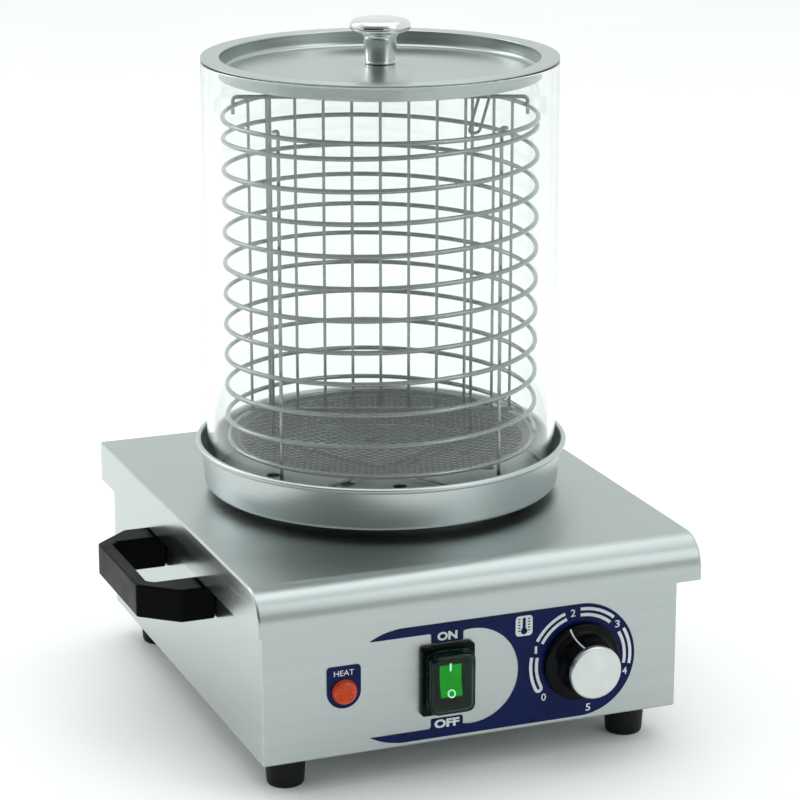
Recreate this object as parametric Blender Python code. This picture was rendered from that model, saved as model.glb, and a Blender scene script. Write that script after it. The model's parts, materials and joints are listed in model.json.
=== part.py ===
"""Counter-top hot dog steamer: a heated stainless base, a water pan, a glass
cylinder round a wire basket, and a lift-off lid. Front faces -Y, +Z is up,
the origin is on the table under the middle of the outline."""

import math

import bmesh
import bpy
from mathutils import Matrix, Vector

MM = 0.001
GAP = 0.3 * MM

# Housing
COVER_HALF_W = 128.0 * MM
COVER_FRONT = -150.0 * MM
COVER_BACK = 147.0 * MM
COVER_TOP = 122.2 * MM
COVER_SKIRT = 23.7 * MM
COVER_ROLL = 17.5 * MM
COVER_BACK_ROLL = 2.0 * MM
SHEET = 1.2 * MM
BODY_HALF_W = 121.2 * MM
BODY_FRONT = -134.5 * MM
BODY_BACK = 144.0 * MM
BODY_BOTTOM = 20.0 * MM
BODY_TOP = 120.2 * MM
BODY_SHEET = 1.0 * MM
BODY_FLANGE = 12.0 * MM
FLOOR_SHEET = 1.2 * MM
FOOT_X = 101.0 * MM
FOOT_FRONT_Y = -111.6 * MM
FOOT_BACK_Y = 121.0 * MM
FOOT_R_TOP = 11.5 * MM
FOOT_R_LOW = 10.0 * MM
BASE_SCREW_X = 83.0 * MM
BASE_SCREW_FRONT_Y = -127.5 * MM
BASE_SCREW_BACK_Y = 137.0 * MM

# Handles
HANDLE_MID_Y = -1.5 * MM
HANDLE_HALF_LEN = 55.5 * MM
HANDLE_BAR_HALF = 38.0 * MM
HANDLE_OPEN_HALF = 36.5 * MM
HANDLE_REACH = 161.2 * MM
HANDLE_SHOULDER = 141.0 * MM
HANDLE_BAR = 7.5 * MM
HANDLE_LOW = 77.5 * MM
HANDLE_TOP = 96.5 * MM
HANDLE_SCREW_Y = 46.0 * MM
HANDLE_SCREW_Z = 87.0 * MM

# Controls, on the front wall
PANEL_MID_Z = 55.2 * MM
FILM = 0.3 * MM
DIAL_X = 62.7 * MM
DIAL_R = 32.6 * MM
KNOB_R = 22.5 * MM
KNOB_HUB_R = 14.8 * MM
KNOB_CAP_R = 15.0 * MM
KNOB_FRONT = -156.0 * MM
SWITCH_X = -16.6 * MM
SWITCH_Z = 56.3 * MM
BEZEL_W = 31.0 * MM
BEZEL_H = 39.5 * MM
BEZEL_THICK = 3.0 * MM
HOOD_W = 26.0 * MM
HOOD_H = 34.5 * MM
HOOD_DEPTH = 8.6 * MM
ROCKER_W = 13.4 * MM
ROCKER_H = 20.0 * MM
ROCKER_TILT = 7.0
LAMP_X = -75.5 * MM
LAMP_Z = 57.0 * MM
LAMP_R = 7.1 * MM

# Glass, pan, basket and lid, all round one upright axis
AXIS_Y = 6.0 * MM
AXIS_STEPS = 40
PLATE_R = 84.0 * MM
PLATE_TOP = 126.1 * MM
PAN_LOW = 126.4 * MM
PAN_RIM_TOP = 152.7 * MM
PAN_RIM_R = 106.2 * MM
PAN_WALL_TOP_R = 102.8 * MM
PAN_WALL_LOW_R = 101.6 * MM
PAN_SHEET = 0.7 * MM
GLASS_R = 100.0 * MM
GLASS_WALL = 4.0 * MM
GLASS_LOW = 130.3 * MM
GLASS_TOP = 370.3 * MM
LID_FLANGE_LOW = 370.6 * MM
LID_SHEET = 0.8 * MM
LID_PLUG_R = 90.0 * MM
LID_PLUG_LOW = 361.2 * MM
LID_KNOB_R = 17.0 * MM
LID_KNOB_TOP = 392.6 * MM
COIL_R = 87.8 * MM
COIL_WIRE = 1.35 * MM
COIL_PITCH = 17.7 * MM
COIL_LOW = 157.7 * MM
COIL_TURNS = 10.0
COIL_START_DEG = -29.6
TOP_RING_R = 88.0 * MM
TOP_RING_Z = 338.6 * MM
LOW_RING_R = 86.85 * MM
LOW_RING_Z = 154.1 * MM
UPRIGHT_R = 84.2 * MM
UPRIGHT_WIRE = 1.0 * MM
BASKET_TURN_DEG = -21.0
DIVIDER_SET_BACK = 33.0 * MM
DIVIDER_TOP = 342.4 * MM
DIVIDER_LOW = 158.0 * MM
DIVIDER_WIRE = 1.2 * MM
DIVIDER_ROD = 0.9 * MM
DIVIDER_PITCH = 16.3 * MM
DIVIDER_EDGE = 76.0 * MM

# Heater
ELEMENT_R = 60.0 * MM
ELEMENT_TUBE = 3.3 * MM
ELEMENT_Z = 114.2 * MM
ELEMENT_END_X = 8.4 * MM

STEEL = (0.62, 0.65, 0.65)
BLACK = (0.012, 0.014, 0.016)


def clear_scene():
    for obj in list(bpy.data.objects):
        bpy.data.objects.remove(obj, do_unlink=True)


def material(name, colour, metallic=0.0, roughness=0.4, clear=0.0):
    mat = bpy.data.materials.new(name)
    mat.use_nodes = True
    shader = mat.node_tree.nodes["Principled BSDF"]
    shader.inputs["Base Color"].default_value = (*colour, 1.0)
    shader.inputs["Metallic"].default_value = metallic
    shader.inputs["Roughness"].default_value = roughness
    shader.inputs["Transmission Weight"].default_value = clear
    return mat


def add_object(name, mesh, origin, mat):
    """Put a bmesh, drawn in world space, into the scene with its own origin."""
    bmesh.ops.remove_doubles(mesh, verts=mesh.verts, dist=1e-7)
    bmesh.ops.translate(mesh, verts=mesh.verts, vec=-Vector(origin))
    bmesh.ops.recalc_face_normals(mesh, faces=mesh.faces)
    data = bpy.data.meshes.new(name)
    mesh.to_mesh(data)
    mesh.free()
    if mat:
        data.materials.append(mat)
    obj = bpy.data.objects.new(name, data)
    obj.location = origin
    bpy.context.scene.collection.objects.link(obj)
    return obj


def add_box(mesh, low, high):
    size = Vector(high) - Vector(low)
    mid = (Vector(high) + Vector(low)) / 2
    place = Matrix.Translation(mid) @ Matrix.Diagonal((*size, 1.0))
    bmesh.ops.create_cube(mesh, size=1.0, matrix=place)


def box(name, low, high, mat, origin=(0, 0, 0)):
    mesh = bmesh.new()
    add_box(mesh, low, high)
    return add_object(name, mesh, origin, mat)


def boxes(name, pairs):
    mesh = bmesh.new()
    for low, high in pairs:
        add_box(mesh, low, high)
    return add_object(name, mesh, (0, 0, 0), None)


def add_prism(mesh, outline, along, low, high):
    """Extrude a closed outline along 'X', 'Y' or 'Z', from low to high."""
    place = {
        "X": lambda a, b, c: (c, a, b),
        "Y": lambda a, b, c: (a, c, b),
        "Z": lambda a, b, c: (a, b, c),
    }[along]
    first = [mesh.verts.new(place(a, b, low)) for a, b in outline]
    last = [mesh.verts.new(place(a, b, high)) for a, b in outline]
    mesh.faces.new(first)
    mesh.faces.new(last[::-1])
    count = len(outline)
    for i in range(count):
        j = (i + 1) % count
        mesh.faces.new((first[i], last[i], last[j], first[j]))


def prism(name, outline, along, low, high, mat, origin=(0, 0, 0)):
    mesh = bmesh.new()
    add_prism(mesh, outline, along, low, high)
    return add_object(name, mesh, origin, mat)


def frame_of(axis):
    """A matrix that turns local +Z to the axis named 'X', 'Y' or 'Z'."""
    turns = {
        "X": Matrix.Rotation(math.pi / 2, 4, "Y"),
        "Y": Matrix.Rotation(-math.pi / 2, 4, "X"),
        "Z": Matrix.Identity(4),
    }
    return turns[axis]


def add_lathe(mesh, profile, base, axis="Z", steps=32):
    """Turn a closed (radius, height) outline round an axis through base."""
    place = Matrix.Translation(Vector(base)) @ frame_of(axis)
    rings = []
    for radius, height in profile:
        if radius == 0:
            rings.append([mesh.verts.new(place @ Vector((0, 0, height)))])
            continue
        ring = []
        for i in range(steps):
            angle = 2 * math.pi * (i + 0.5) / steps
            spot = Vector((radius * math.cos(angle), radius * math.sin(angle), height))
            ring.append(mesh.verts.new(place @ spot))
        rings.append(ring)
    for one, two in zip(rings, rings[1:] + rings[:1]):
        if len(one) == 1 and len(two) == 1:
            continue
        for i in range(steps):
            j = (i + 1) % steps
            loop = [one[i % len(one)], one[j % len(one)], two[j % len(two)], two[i % len(two)]]
            mesh.faces.new(list(dict.fromkeys(loop)))


def lathe(name, profile, base, mat, axis="Z", steps=32):
    mesh = bmesh.new()
    add_lathe(mesh, profile, base, axis, steps)
    return add_object(name, mesh, base, mat)


def rod_profile(radius, low, high):
    return [(0, low), (radius, low), (radius, high), (0, high)]


def tube_profile(inner, outer, low, high):
    return [(inner, low), (outer, low), (outer, high), (inner, high)]


def add_rods(mesh, spots, radius, low, high, axis="Z", steps=12):
    for spot in spots:
        add_lathe(mesh, rod_profile(radius, low, high), spot, axis, steps)


def rods(name, spots, radius, low, high, axis="Z", steps=12):
    mesh = bmesh.new()
    add_rods(mesh, spots, radius, low, high, axis, steps)
    return add_object(name, mesh, (0, 0, 0), None)


def sweep_axes(points, closed):
    """Directions along a path, with a side vector carried along it untwisted."""
    count = len(points)
    along = []
    for i in range(count):
        ahead = points[(i + 1) % count] if closed or i + 1 < count else points[i]
        behind = points[i - 1] if closed or i else points[i]
        along.append((ahead - behind).normalized())
    side = along[0].orthogonal().normalized()
    if abs(along[0].z) < 0.9:
        side = (Vector((0, 0, 1)) - along[0] * along[0].z).normalized()
    sides = [side]
    for one, two in zip(along, along[1:]):
        side = one.rotation_difference(two) @ side
        sides.append((side - two * side.dot(two)).normalized())
    return along, sides


def add_sweep(mesh, points, radius, sides=6, closed=False):
    """A round wire along points. radius is one number or one for each point."""
    points = [Vector(p) for p in points]
    radii = radius if isinstance(radius, list) else [radius] * len(points)
    along, across = sweep_axes(points, closed)
    rings = []
    for point, way, side, size in zip(points, along, across, radii):
        other = way.cross(side)
        ring = []
        for i in range(sides):
            angle = 2 * math.pi * i / sides
            spot = point + size * (math.cos(angle) * side + math.sin(angle) * other)
            ring.append(mesh.verts.new(spot))
        rings.append(ring)
    pairs = list(zip(rings, rings[1:]))
    if closed:
        pairs.append((rings[-1], rings[0]))
    else:
        mesh.faces.new(rings[0])
        mesh.faces.new(rings[-1][::-1])
    for one, two in pairs:
        for i in range(sides):
            j = (i + 1) % sides
            mesh.faces.new((one[i], one[j], two[j], two[i]))


def sweep(name, points, radius, mat, sides=6, closed=False, origin=(0, 0, 0)):
    mesh = bmesh.new()
    add_sweep(mesh, points, radius, sides, closed)
    return add_object(name, mesh, origin, mat)


def combine(obj, other, operation):
    """Cut other from obj, or join it on, and hide other."""
    modifier = obj.modifiers.new(other.name, "BOOLEAN")
    modifier.operation = operation
    modifier.solver = "EXACT"
    modifier.object = other
    other.hide_render = True
    other.display_type = "WIRE"


def cut(obj, other):
    combine(obj, other, "DIFFERENCE")


def join(obj, other):
    combine(obj, other, "UNION")


def arc(mid, radius, start, end, count):
    """Points on a circle arc in a plane, from start to end degrees."""
    found = []
    for i in range(count + 1):
        angle = math.radians(start + (end - start) * i / count)
        found.append((mid[0] + radius * math.cos(angle), mid[1] + radius * math.sin(angle)))
    return found


def smooth_path(corners, bend, steps=4):
    """Round the corners of a path with short curves of reach bend."""
    corners = [Vector(c) for c in corners]
    found = [corners[0]]
    for before, here, after in zip(corners, corners[1:], corners[2:]):
        reach = min(bend, (before - here).length * 0.45, (after - here).length * 0.45)
        start = here + (before - here).normalized() * reach
        end = here + (after - here).normalized() * reach
        for i in range(steps + 1):
            t = i / steps
            found.append(start * (1 - t) ** 2 + here * 2 * t * (1 - t) + end * t**2)
    found.append(corners[-1])
    return found


def cover_outline(inset, low):
    """Side view of the top cover: a large roll in front, a small one behind."""
    front_r = COVER_ROLL - inset
    back_r = COVER_BACK_ROLL - inset
    front_mid = (COVER_FRONT + COVER_ROLL, COVER_TOP - COVER_ROLL)
    back_mid = (COVER_BACK - COVER_BACK_ROLL, COVER_TOP - COVER_BACK_ROLL)
    outline = [(COVER_FRONT + inset, low)]
    outline += arc(front_mid, front_r, 180, 90, 10)
    outline += arc(back_mid, back_r, 90, 0, 3)
    outline += [(COVER_BACK - inset, low)]
    return outline


def top_cover(steel):
    low = COVER_TOP - COVER_SKIRT
    outside = cover_outline(0, low)
    cover = prism("top_cover", outside, "X", -COVER_HALF_W, COVER_HALF_W, steel)
    inside = cover_outline(SHEET, low - 5 * MM)
    half = COVER_HALF_W - SHEET
    cut(cover, prism("cover_hollow", inside, "X", -half, half, None))
    spot = [(0, AXIS_Y, 0)]
    hole = rods("cover_hole", spot, PLATE_R + 1 * MM, COVER_TOP - 8 * MM, COVER_TOP + 5 * MM, "Z", AXIS_STEPS)
    cut(cover, hole)


def body_shell(steel):
    shell = box(
        "body_shell",
        (-BODY_HALF_W, BODY_FRONT, BODY_BOTTOM),
        (BODY_HALF_W, BODY_BACK, BODY_TOP),
        steel,
    )
    t = BODY_SHEET
    f = BODY_FLANGE
    inner = (
        (-BODY_HALF_W + t, BODY_FRONT + t, BODY_BOTTOM + t),
        (BODY_HALF_W - t, BODY_BACK - t, BODY_TOP + 9 * MM),
    )
    cut(shell, boxes("shell_hollow", [inner]))
    below = (
        (-BODY_HALF_W + f, BODY_FRONT + f, BODY_BOTTOM - 9 * MM),
        (BODY_HALF_W - f, BODY_BACK - f, BODY_BOTTOM + 9 * MM),
    )
    cut(shell, boxes("shell_floor_hole", [below]))
    cut(shell, boxes("shell_switch_hole", [switch_slot(0.5 * MM)]))
    cut(shell, wall_holes())
    cut(shell, base_screw_holes("shell_base_holes"))


def switch_slot(spare):
    half_w = 10.6 * MM + spare
    half_h = 14.6 * MM + spare
    return (
        (SWITCH_X - half_w, BODY_FRONT - 5 * MM, SWITCH_Z - half_h),
        (SWITCH_X + half_w, BODY_FRONT + 5 * MM, SWITCH_Z + half_h),
    )


def wall_holes():
    """Round holes in the four walls: lamp, spindle, gland, handle screws."""
    mesh = bmesh.new()
    front = BODY_FRONT
    add_rods(mesh, [(LAMP_X, front, LAMP_Z)], 5.3 * MM, -6 * MM, 6 * MM, "Y")
    add_rods(mesh, [(DIAL_X, front, PANEL_MID_Z)], 4.6 * MM, -6 * MM, 6 * MM, "Y")
    add_rods(mesh, [(GLAND_X, BODY_BACK, GLAND_Z)], 6.8 * MM, -6 * MM, 6 * MM, "Y", 16)
    for spot in handle_screw_spots():
        add_rods(mesh, [spot], 2.8 * MM, -6 * MM, 6 * MM, "X")
    return add_object("shell_round_holes", mesh, (0, 0, 0), None)


def base_screw_spots():
    return [
        (side * BASE_SCREW_X, y, BODY_BOTTOM)
        for side in (-1, 1)
        for y in (BASE_SCREW_FRONT_Y, BASE_SCREW_BACK_Y)
    ]


def base_screw_holes(name):
    return rods(name, base_screw_spots(), 1.9 * MM, -6 * MM, 8 * MM)


def foot_spots():
    return {
        "fl": (-FOOT_X, FOOT_FRONT_Y, 0.0),
        "fr": (FOOT_X, FOOT_FRONT_Y, 0.0),
        "rl": (-FOOT_X, FOOT_BACK_Y, 0.0),
        "rr": (FOOT_X, FOOT_BACK_Y, 0.0),
    }


def bottom_plate(steel):
    low = BODY_BOTTOM + BODY_SHEET + GAP
    edge = BODY_SHEET + GAP
    plate = box(
        "bottom_plate",
        (-BODY_HALF_W + edge, BODY_FRONT + edge, low),
        (BODY_HALF_W - edge, BODY_BACK - edge, low + FLOOR_SHEET),
        steel,
    )
    cut(plate, base_screw_holes("plate_base_holes"))
    spots = list(foot_spots().values())
    cut(plate, rods("plate_foot_holes", spots, 2.5 * MM, 15 * MM, 30 * MM))


def feet(rubber, zinc):
    top = BODY_BOTTOM - GAP
    foot = [
        (2.5 * MM, 9 * MM),
        (2.5 * MM, top),
        (FOOT_R_TOP, top),
        (FOOT_R_TOP - 0.4 * MM, 14 * MM),
        (FOOT_R_LOW + 0.3 * MM, 1.2 * MM),
        (FOOT_R_LOW - 0.6 * MM, 0),
        (5.0 * MM, 0),
        (5.0 * MM, 9 * MM),
    ]
    screw = [
        (0, 5.5 * MM),
        (3.9 * MM, 5.9 * MM),
        (4.2 * MM, 8.7 * MM),
        (2.0 * MM, 8.7 * MM),
        (2.0 * MM, 27 * MM),
        (0, 27 * MM),
    ]
    for tag, spot in foot_spots().items():
        lathe("foot_" + tag, foot, spot, rubber, "Z", 20)
        lathe("foot_screw_" + tag, screw, spot, zinc, "Z", 10)


def base_screws(zinc):
    head = BODY_BOTTOM - GAP
    profile = [
        (0, head - 1.9 * MM),
        (2.2 * MM, head - 1.7 * MM),
        (3.0 * MM, head - 0.6 * MM),
        (3.0 * MM, head),
        (1.5 * MM, head),
        (1.5 * MM, head + 7 * MM),
        (0, head + 7 * MM),
    ]
    for number, spot in enumerate(base_screw_spots(), 1):
        lathe(f"base_screw_{number}", profile, (spot[0], spot[1], 0), zinc, "Z", 10)


def handle_screw_spots():
    return [
        (side * BODY_HALF_W, HANDLE_MID_Y + turn * HANDLE_SCREW_Y, HANDLE_SCREW_Z)
        for side in (-1, 1)
        for turn in (-1, 1)
    ]


def handle_outline(side):
    """Plan view of a handle: thick arms, a thin bar and chamfered corners."""
    root = BODY_HALF_W + GAP
    inner = HANDLE_REACH - HANDLE_BAR
    half = [
        (root, HANDLE_HALF_LEN),
        (HANDLE_SHOULDER, HANDLE_HALF_LEN),
        (HANDLE_REACH, HANDLE_BAR_HALF),
    ]
    gap = [
        (root, HANDLE_OPEN_HALF),
        (inner - 3.5 * MM, HANDLE_OPEN_HALF),
        (inner, HANDLE_OPEN_HALF - 3.5 * MM),
    ]
    around = half + [(x, -y) for x, y in reversed(half)]
    around += [(x, -y) for x, y in gap] + list(reversed(gap))
    return [(side * x, HANDLE_MID_Y + y) for x, y in around]


def handles(plastic, zinc):
    spots = handle_screw_spots()
    for side, tag, ends in ((-1, "left", spots[:2]), (1, "right", spots[2:])):
        outline = handle_outline(side)
        grip = prism("handle_" + tag, outline, "Z", HANDLE_LOW, HANDLE_TOP, plastic)
        cut(grip, rods("handle_holes_" + tag, ends, 2.5 * MM, -16 * MM, 16 * MM, "X"))
        for spot, end in zip(ends, ("front", "rear")):
            inward = BODY_SHEET + GAP
            profile = [
                (0, -inward - 2.4 * MM),
                (3.4 * MM, -inward - 2.0 * MM),
                (4.2 * MM, -inward),
                (2.1 * MM, -inward),
                (2.1 * MM, 14 * MM),
                (0, 14 * MM),
            ]
            turned = [(r, side * h) for r, h in profile]
            lathe(f"handle_screw_{tag}_{end}", turned, spot, zinc, "X", 10)


def panel_outline():
    """The printed film: two pointed bands that join round the dial."""
    top = PANEL_MID_Z + DIAL_R
    low = PANEL_MID_Z - DIAL_R
    band = 27.5 * MM
    tip_x = -60.5 * MM
    full_x = -43.4 * MM
    tab_left = -25.4 * MM
    tab_right = -7.0 * MM
    arc_mid = (-1.8 * MM, PANEL_MID_Z)
    swing = math.degrees(math.acos((tab_right - arc_mid[0]) / band))
    outline = [(tip_x, PANEL_MID_Z + band), (full_x, top)]
    outline += arc((DIAL_X, PANEL_MID_Z), DIAL_R, 90, -90, 24)
    outline += [(full_x, low), (tip_x, PANEL_MID_Z - band)]
    outline += [(tab_left, PANEL_MID_Z - band), (tab_left, 33.4 * MM), (tab_right, 33.4 * MM)]
    outline += arc(arc_mid, band, -swing, swing, 20)
    outline += [(tab_right, 76.4 * MM + 0.6 * MM), (tab_left, 76.4 * MM + 0.6 * MM)]
    outline += [(tab_left, PANEL_MID_Z + band)]
    return outline


def films(blue):
    back = BODY_FRONT - GAP
    film = prism("panel_film", panel_outline(), "Y", back - FILM, back, blue)
    spot = [(DIAL_X, BODY_FRONT, PANEL_MID_Z)]
    cut(film, rods("film_hole", spot, 4.6 * MM, -6 * MM, 6 * MM, "Y"))
    half = 9.6 * MM
    outline = arc((LAMP_X, LAMP_Z), half, 180, 360, 14)
    outline += [(LAMP_X + half, 70.3 * MM), (LAMP_X + half - 1 * MM, 71.3 * MM)]
    outline += [(LAMP_X - half + 1 * MM, 71.3 * MM), (LAMP_X - half, 70.3 * MM)]
    label = prism("lamp_film", outline, "Y", back - FILM, back, blue)
    spot = [(LAMP_X, BODY_FRONT, LAMP_Z)]
    cut(label, rods("lamp_film_hole", spot, 5.3 * MM, -6 * MM, 6 * MM, "Y"))


def pilot_lamp(amber, plastic):
    face = BODY_FRONT - 2 * GAP - FILM
    lens = [
        (0, 0),
        (LAMP_R, 0),
        (LAMP_R, -1.4 * MM),
        (LAMP_R - 0.8 * MM, -2.9 * MM),
        (LAMP_R - 3.5 * MM, -4.0 * MM),
        (0, -4.3 * MM),
    ]
    lathe("lamp_lens", lens, (LAMP_X, face, LAMP_Z), amber, "Y", 20)
    nut = BODY_FRONT + BODY_SHEET + GAP
    shank = 4.9 * MM
    body = [
        (0, face + GAP),
        (shank, face + GAP),
        (shank, nut),
        (7.0 * MM, nut),
        (7.0 * MM, nut + 3 * MM),
        (shank, nut + 3 * MM),
        (shank, BODY_FRONT + 23 * MM),
        (0, BODY_FRONT + 23 * MM),
    ]
    lathe("lamp_body", body, (LAMP_X, 0, LAMP_Z), plastic, "Y", 12)


def rounded_outline(mid, width, height, radius, steps=4):
    """A rectangle with round corners, in the X-Z plane."""
    x = width / 2 - radius
    z = height / 2 - radius
    outline = []
    for sx, sz, start in ((1, 1, 0), (-1, 1, 90), (-1, -1, 180), (1, -1, 270)):
        corner = (mid[0] + sx * x, mid[1] + sz * z)
        outline += arc(corner, radius, start, start + 90, steps)
    return outline


def switch(plastic, green, hood_green):
    mid = (SWITCH_X, SWITCH_Z)
    seat = BODY_FRONT - GAP
    face = seat - BEZEL_THICK
    rim = rounded_outline(mid, BEZEL_W, BEZEL_H, 2.5 * MM, 3)
    body = prism("switch_body", rim, "Y", face, seat, plastic)
    low, high = switch_slot(0)
    back = BODY_FRONT + 26 * MM
    core = ((low[0], seat - 1 * MM, low[2]), (high[0], back, high[2]))
    join(body, boxes("switch_core", [core]))
    pocket = (
        (SWITCH_X - 7.5 * MM, face - 2 * MM, SWITCH_Z - 11.5 * MM),
        (SWITCH_X + 7.5 * MM, BODY_FRONT + 6 * MM, SWITCH_Z + 11.5 * MM),
    )
    cut(body, boxes("switch_pocket", [pocket]))
    rocker(green)
    front = face - GAP - HOOD_DEPTH
    outside = rounded_outline(mid, HOOD_W, HOOD_H, 4 * MM)
    hood = prism("switch_hood", outside, "Y", front, face - GAP, hood_green)
    wall = 3.2 * MM
    inside = rounded_outline(mid, HOOD_W - wall, HOOD_H - wall, 3 * MM)
    room = prism("hood_hollow", inside, "Y", front + 1.2 * MM, face + 2 * MM, None)
    cut(hood, room)


def rocker(green):
    """Stored switched on, with the upper end pressed in."""
    pivot = Vector((SWITCH_X, BODY_FRONT - 1.0 * MM, SWITCH_Z))
    half = ROCKER_H / 2
    side = [
        (-6.0 * MM, half),
        (-4.9 * MM, 0),
        (-6.0 * MM, -half),
        (-1.5 * MM, -half),
        (3.0 * MM, -3 * MM),
        (3.0 * MM, 3 * MM),
        (-1.5 * MM, half),
    ]
    tilt = math.radians(-ROCKER_TILT)
    outline = []
    for y, z in side:
        turned_y = y * math.cos(tilt) - z * math.sin(tilt)
        turned_z = y * math.sin(tilt) + z * math.cos(tilt)
        outline.append((pivot.y + turned_y, pivot.z + turned_z))
    left = SWITCH_X - ROCKER_W / 2
    prism("switch_rocker", outline, "X", left, left + ROCKER_W, green, pivot)


def knob(plastic, silver, zinc):
    """Skirted knob, brushed cap and thermostat spindle, which turn together."""
    mid = (DIAL_X, 0, PANEL_MID_Z)
    back = BODY_FRONT - 2 * GAP - FILM - 0.3 * MM
    cap_back = KNOB_FRONT + 3.2 * MM
    body = [
        (3.3 * MM, back),
        (KNOB_R - 0.5 * MM, back),
        (KNOB_R, back - 0.8 * MM),
        (KNOB_R - 0.3 * MM, back - 2.6 * MM),
        (KNOB_R - 1.2 * MM, back - 3.2 * MM),
        (18.6 * MM, back - 3.6 * MM),
        (16.6 * MM, back - 5.2 * MM),
        (15.4 * MM, back - 8.2 * MM),
        (KNOB_HUB_R, back - 12.0 * MM),
        (KNOB_HUB_R, cap_back + GAP),
        (0, cap_back + GAP),
        (0, cap_back + 4 * MM),
        (3.3 * MM, cap_back + 4 * MM),
    ]
    lathe("knob_body", body, mid, plastic, "Y", 24)
    cap = [
        (0, cap_back),
        (KNOB_CAP_R, cap_back),
        (KNOB_CAP_R, KNOB_FRONT + 0.8 * MM),
        (KNOB_CAP_R - 0.8 * MM, KNOB_FRONT),
        (0, KNOB_FRONT),
    ]
    lathe("knob_cap", cap, mid, silver, "Y", 24)
    spindle = rod_profile(3.0 * MM, cap_back + 4.5 * MM, BODY_FRONT + 6 * MM)
    lathe("knob_spindle", spindle, mid, zinc, "Y", 12)


def thermostat(plastic, copper):
    near = BODY_FRONT + BODY_SHEET + GAP
    body = box(
        "thermostat_body",
        (DIAL_X - 18 * MM, near, PANEL_MID_Z - 16 * MM),
        (DIAL_X + 18 * MM, near + 22 * MM, PANEL_MID_Z + 16 * MM),
        plastic,
    )
    spot = [(DIAL_X, near, PANEL_MID_Z)]
    cut(body, rods("thermostat_bore", spot, 3.4 * MM, -6 * MM, 6 * MM, "Y"))
    bulb_x = 26 * MM
    bulb_z = 114.0 * MM
    back = near + 22 * MM + GAP
    path = smooth_path(
        [
            (bulb_x, 44 * MM, bulb_z),
            (bulb_x, -26 * MM, bulb_z),
            (bulb_x, -36 * MM, bulb_z - 4 * MM),
            (bulb_x + 4 * MM, -44 * MM, 90 * MM),
            (60 * MM, -75 * MM, 66 * MM),
            (DIAL_X, back, 66 * MM),
        ],
        8 * MM,
    )
    sizes = [3.0 * MM if p.y > -26.5 * MM and p.z > bulb_z - 1 * MM else 0.9 * MM for p in path]
    sweep("thermostat_bulb", path, sizes, copper, 8)


def heater(alloy, steel, zinc, ceramic):
    mid = (0, AXIS_Y, 0)
    stud = 3.0 * MM
    flange_top = COVER_TOP - SHEET - GAP
    plate = [
        (0, PLATE_TOP),
        (0, 98 * MM),
        (stud, 98 * MM),
        (stud, 118 * MM),
        (PLATE_R + 5 * MM, 118 * MM),
        (PLATE_R + 5 * MM, flange_top),
        (PLATE_R, flange_top),
        (PLATE_R, PLATE_TOP - 0.6 * MM),
        (PLATE_R - 0.6 * MM, PLATE_TOP),
    ]
    lathe("heater_plate", plate, mid, alloy, "Z", AXIS_STEPS)
    element(steel)
    bar = box(
        "clamp_bar",
        (-76 * MM, AXIS_Y - 9 * MM, 107.6 * MM),
        (76 * MM, AXIS_Y + 9 * MM, 110.6 * MM),
        steel,
    )
    cut(bar, rods("clamp_bar_hole", [mid], stud + 0.4 * MM, 100 * MM, 115 * MM))
    nut = tube_profile(3.8 * MM, 6.4 * MM, 102 * MM, 107.3 * MM)
    lathe("clamp_nut", nut, mid, zinc, "Z", 6)
    cutout = [
        (0, 117.7 * MM),
        (0, 104 * MM),
        (5 * MM, 104 * MM),
        (5 * MM, 110 * MM),
        (8 * MM, 110 * MM),
        (8 * MM, 117.7 * MM),
    ]
    lathe("thermal_cutout", cutout, (-30 * MM, -26 * MM, 0), ceramic, "Z", 16)


def element(steel):
    """Tubular heating element: one open ring with both ends turned down."""
    open_deg = math.degrees(math.asin(ELEMENT_END_X / ELEMENT_R))
    ring = arc((0, AXIS_Y), ELEMENT_R, -90 + open_deg, 270 - open_deg, 28)
    points = [(x, y, ELEMENT_Z) for x, y in ring]
    first = [(points[0][0], points[0][1], 98 * MM), (points[0][0], points[0][1], 106 * MM)]
    last = [(points[-1][0], points[-1][1], 106 * MM), (points[-1][0], points[-1][1], 98 * MM)]
    path = smooth_path(first + points[1:2], 7 * MM) + points[2:-2]
    path += smooth_path(points[-2:-1] + last, 7 * MM)
    sweep("heating_element", path, ELEMENT_TUBE, steel, 6)


GLAND_X = -60.0 * MM
GLAND_Z = 48.0 * MM
BLOCK_Y = 110.0 * MM


def gland(plastic):
    bore = 3.6 * MM
    outside = BODY_BACK + GAP
    body = [
        (bore, BODY_BACK - 14 * MM),
        (6.3 * MM, BODY_BACK - 14 * MM),
        (6.3 * MM, outside),
        (9.5 * MM, outside),
        (9.5 * MM, outside + 4 * MM),
        (8.0 * MM, outside + 4.6 * MM),
        (7.6 * MM, outside + 8 * MM),
        (5.6 * MM, 156.0 * MM),
        (bore, 156.0 * MM),
    ]
    lathe("cable_gland", body, (GLAND_X, 0, GLAND_Z), plastic, "Y", 20)
    near = BODY_BACK - BODY_SHEET - GAP
    nut = tube_profile(7.6 * MM, 10.8 * MM, near - 4.5 * MM, near)
    lathe("gland_nut", nut, (GLAND_X, 0, GLAND_Z), plastic, "Y", 6)


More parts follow.
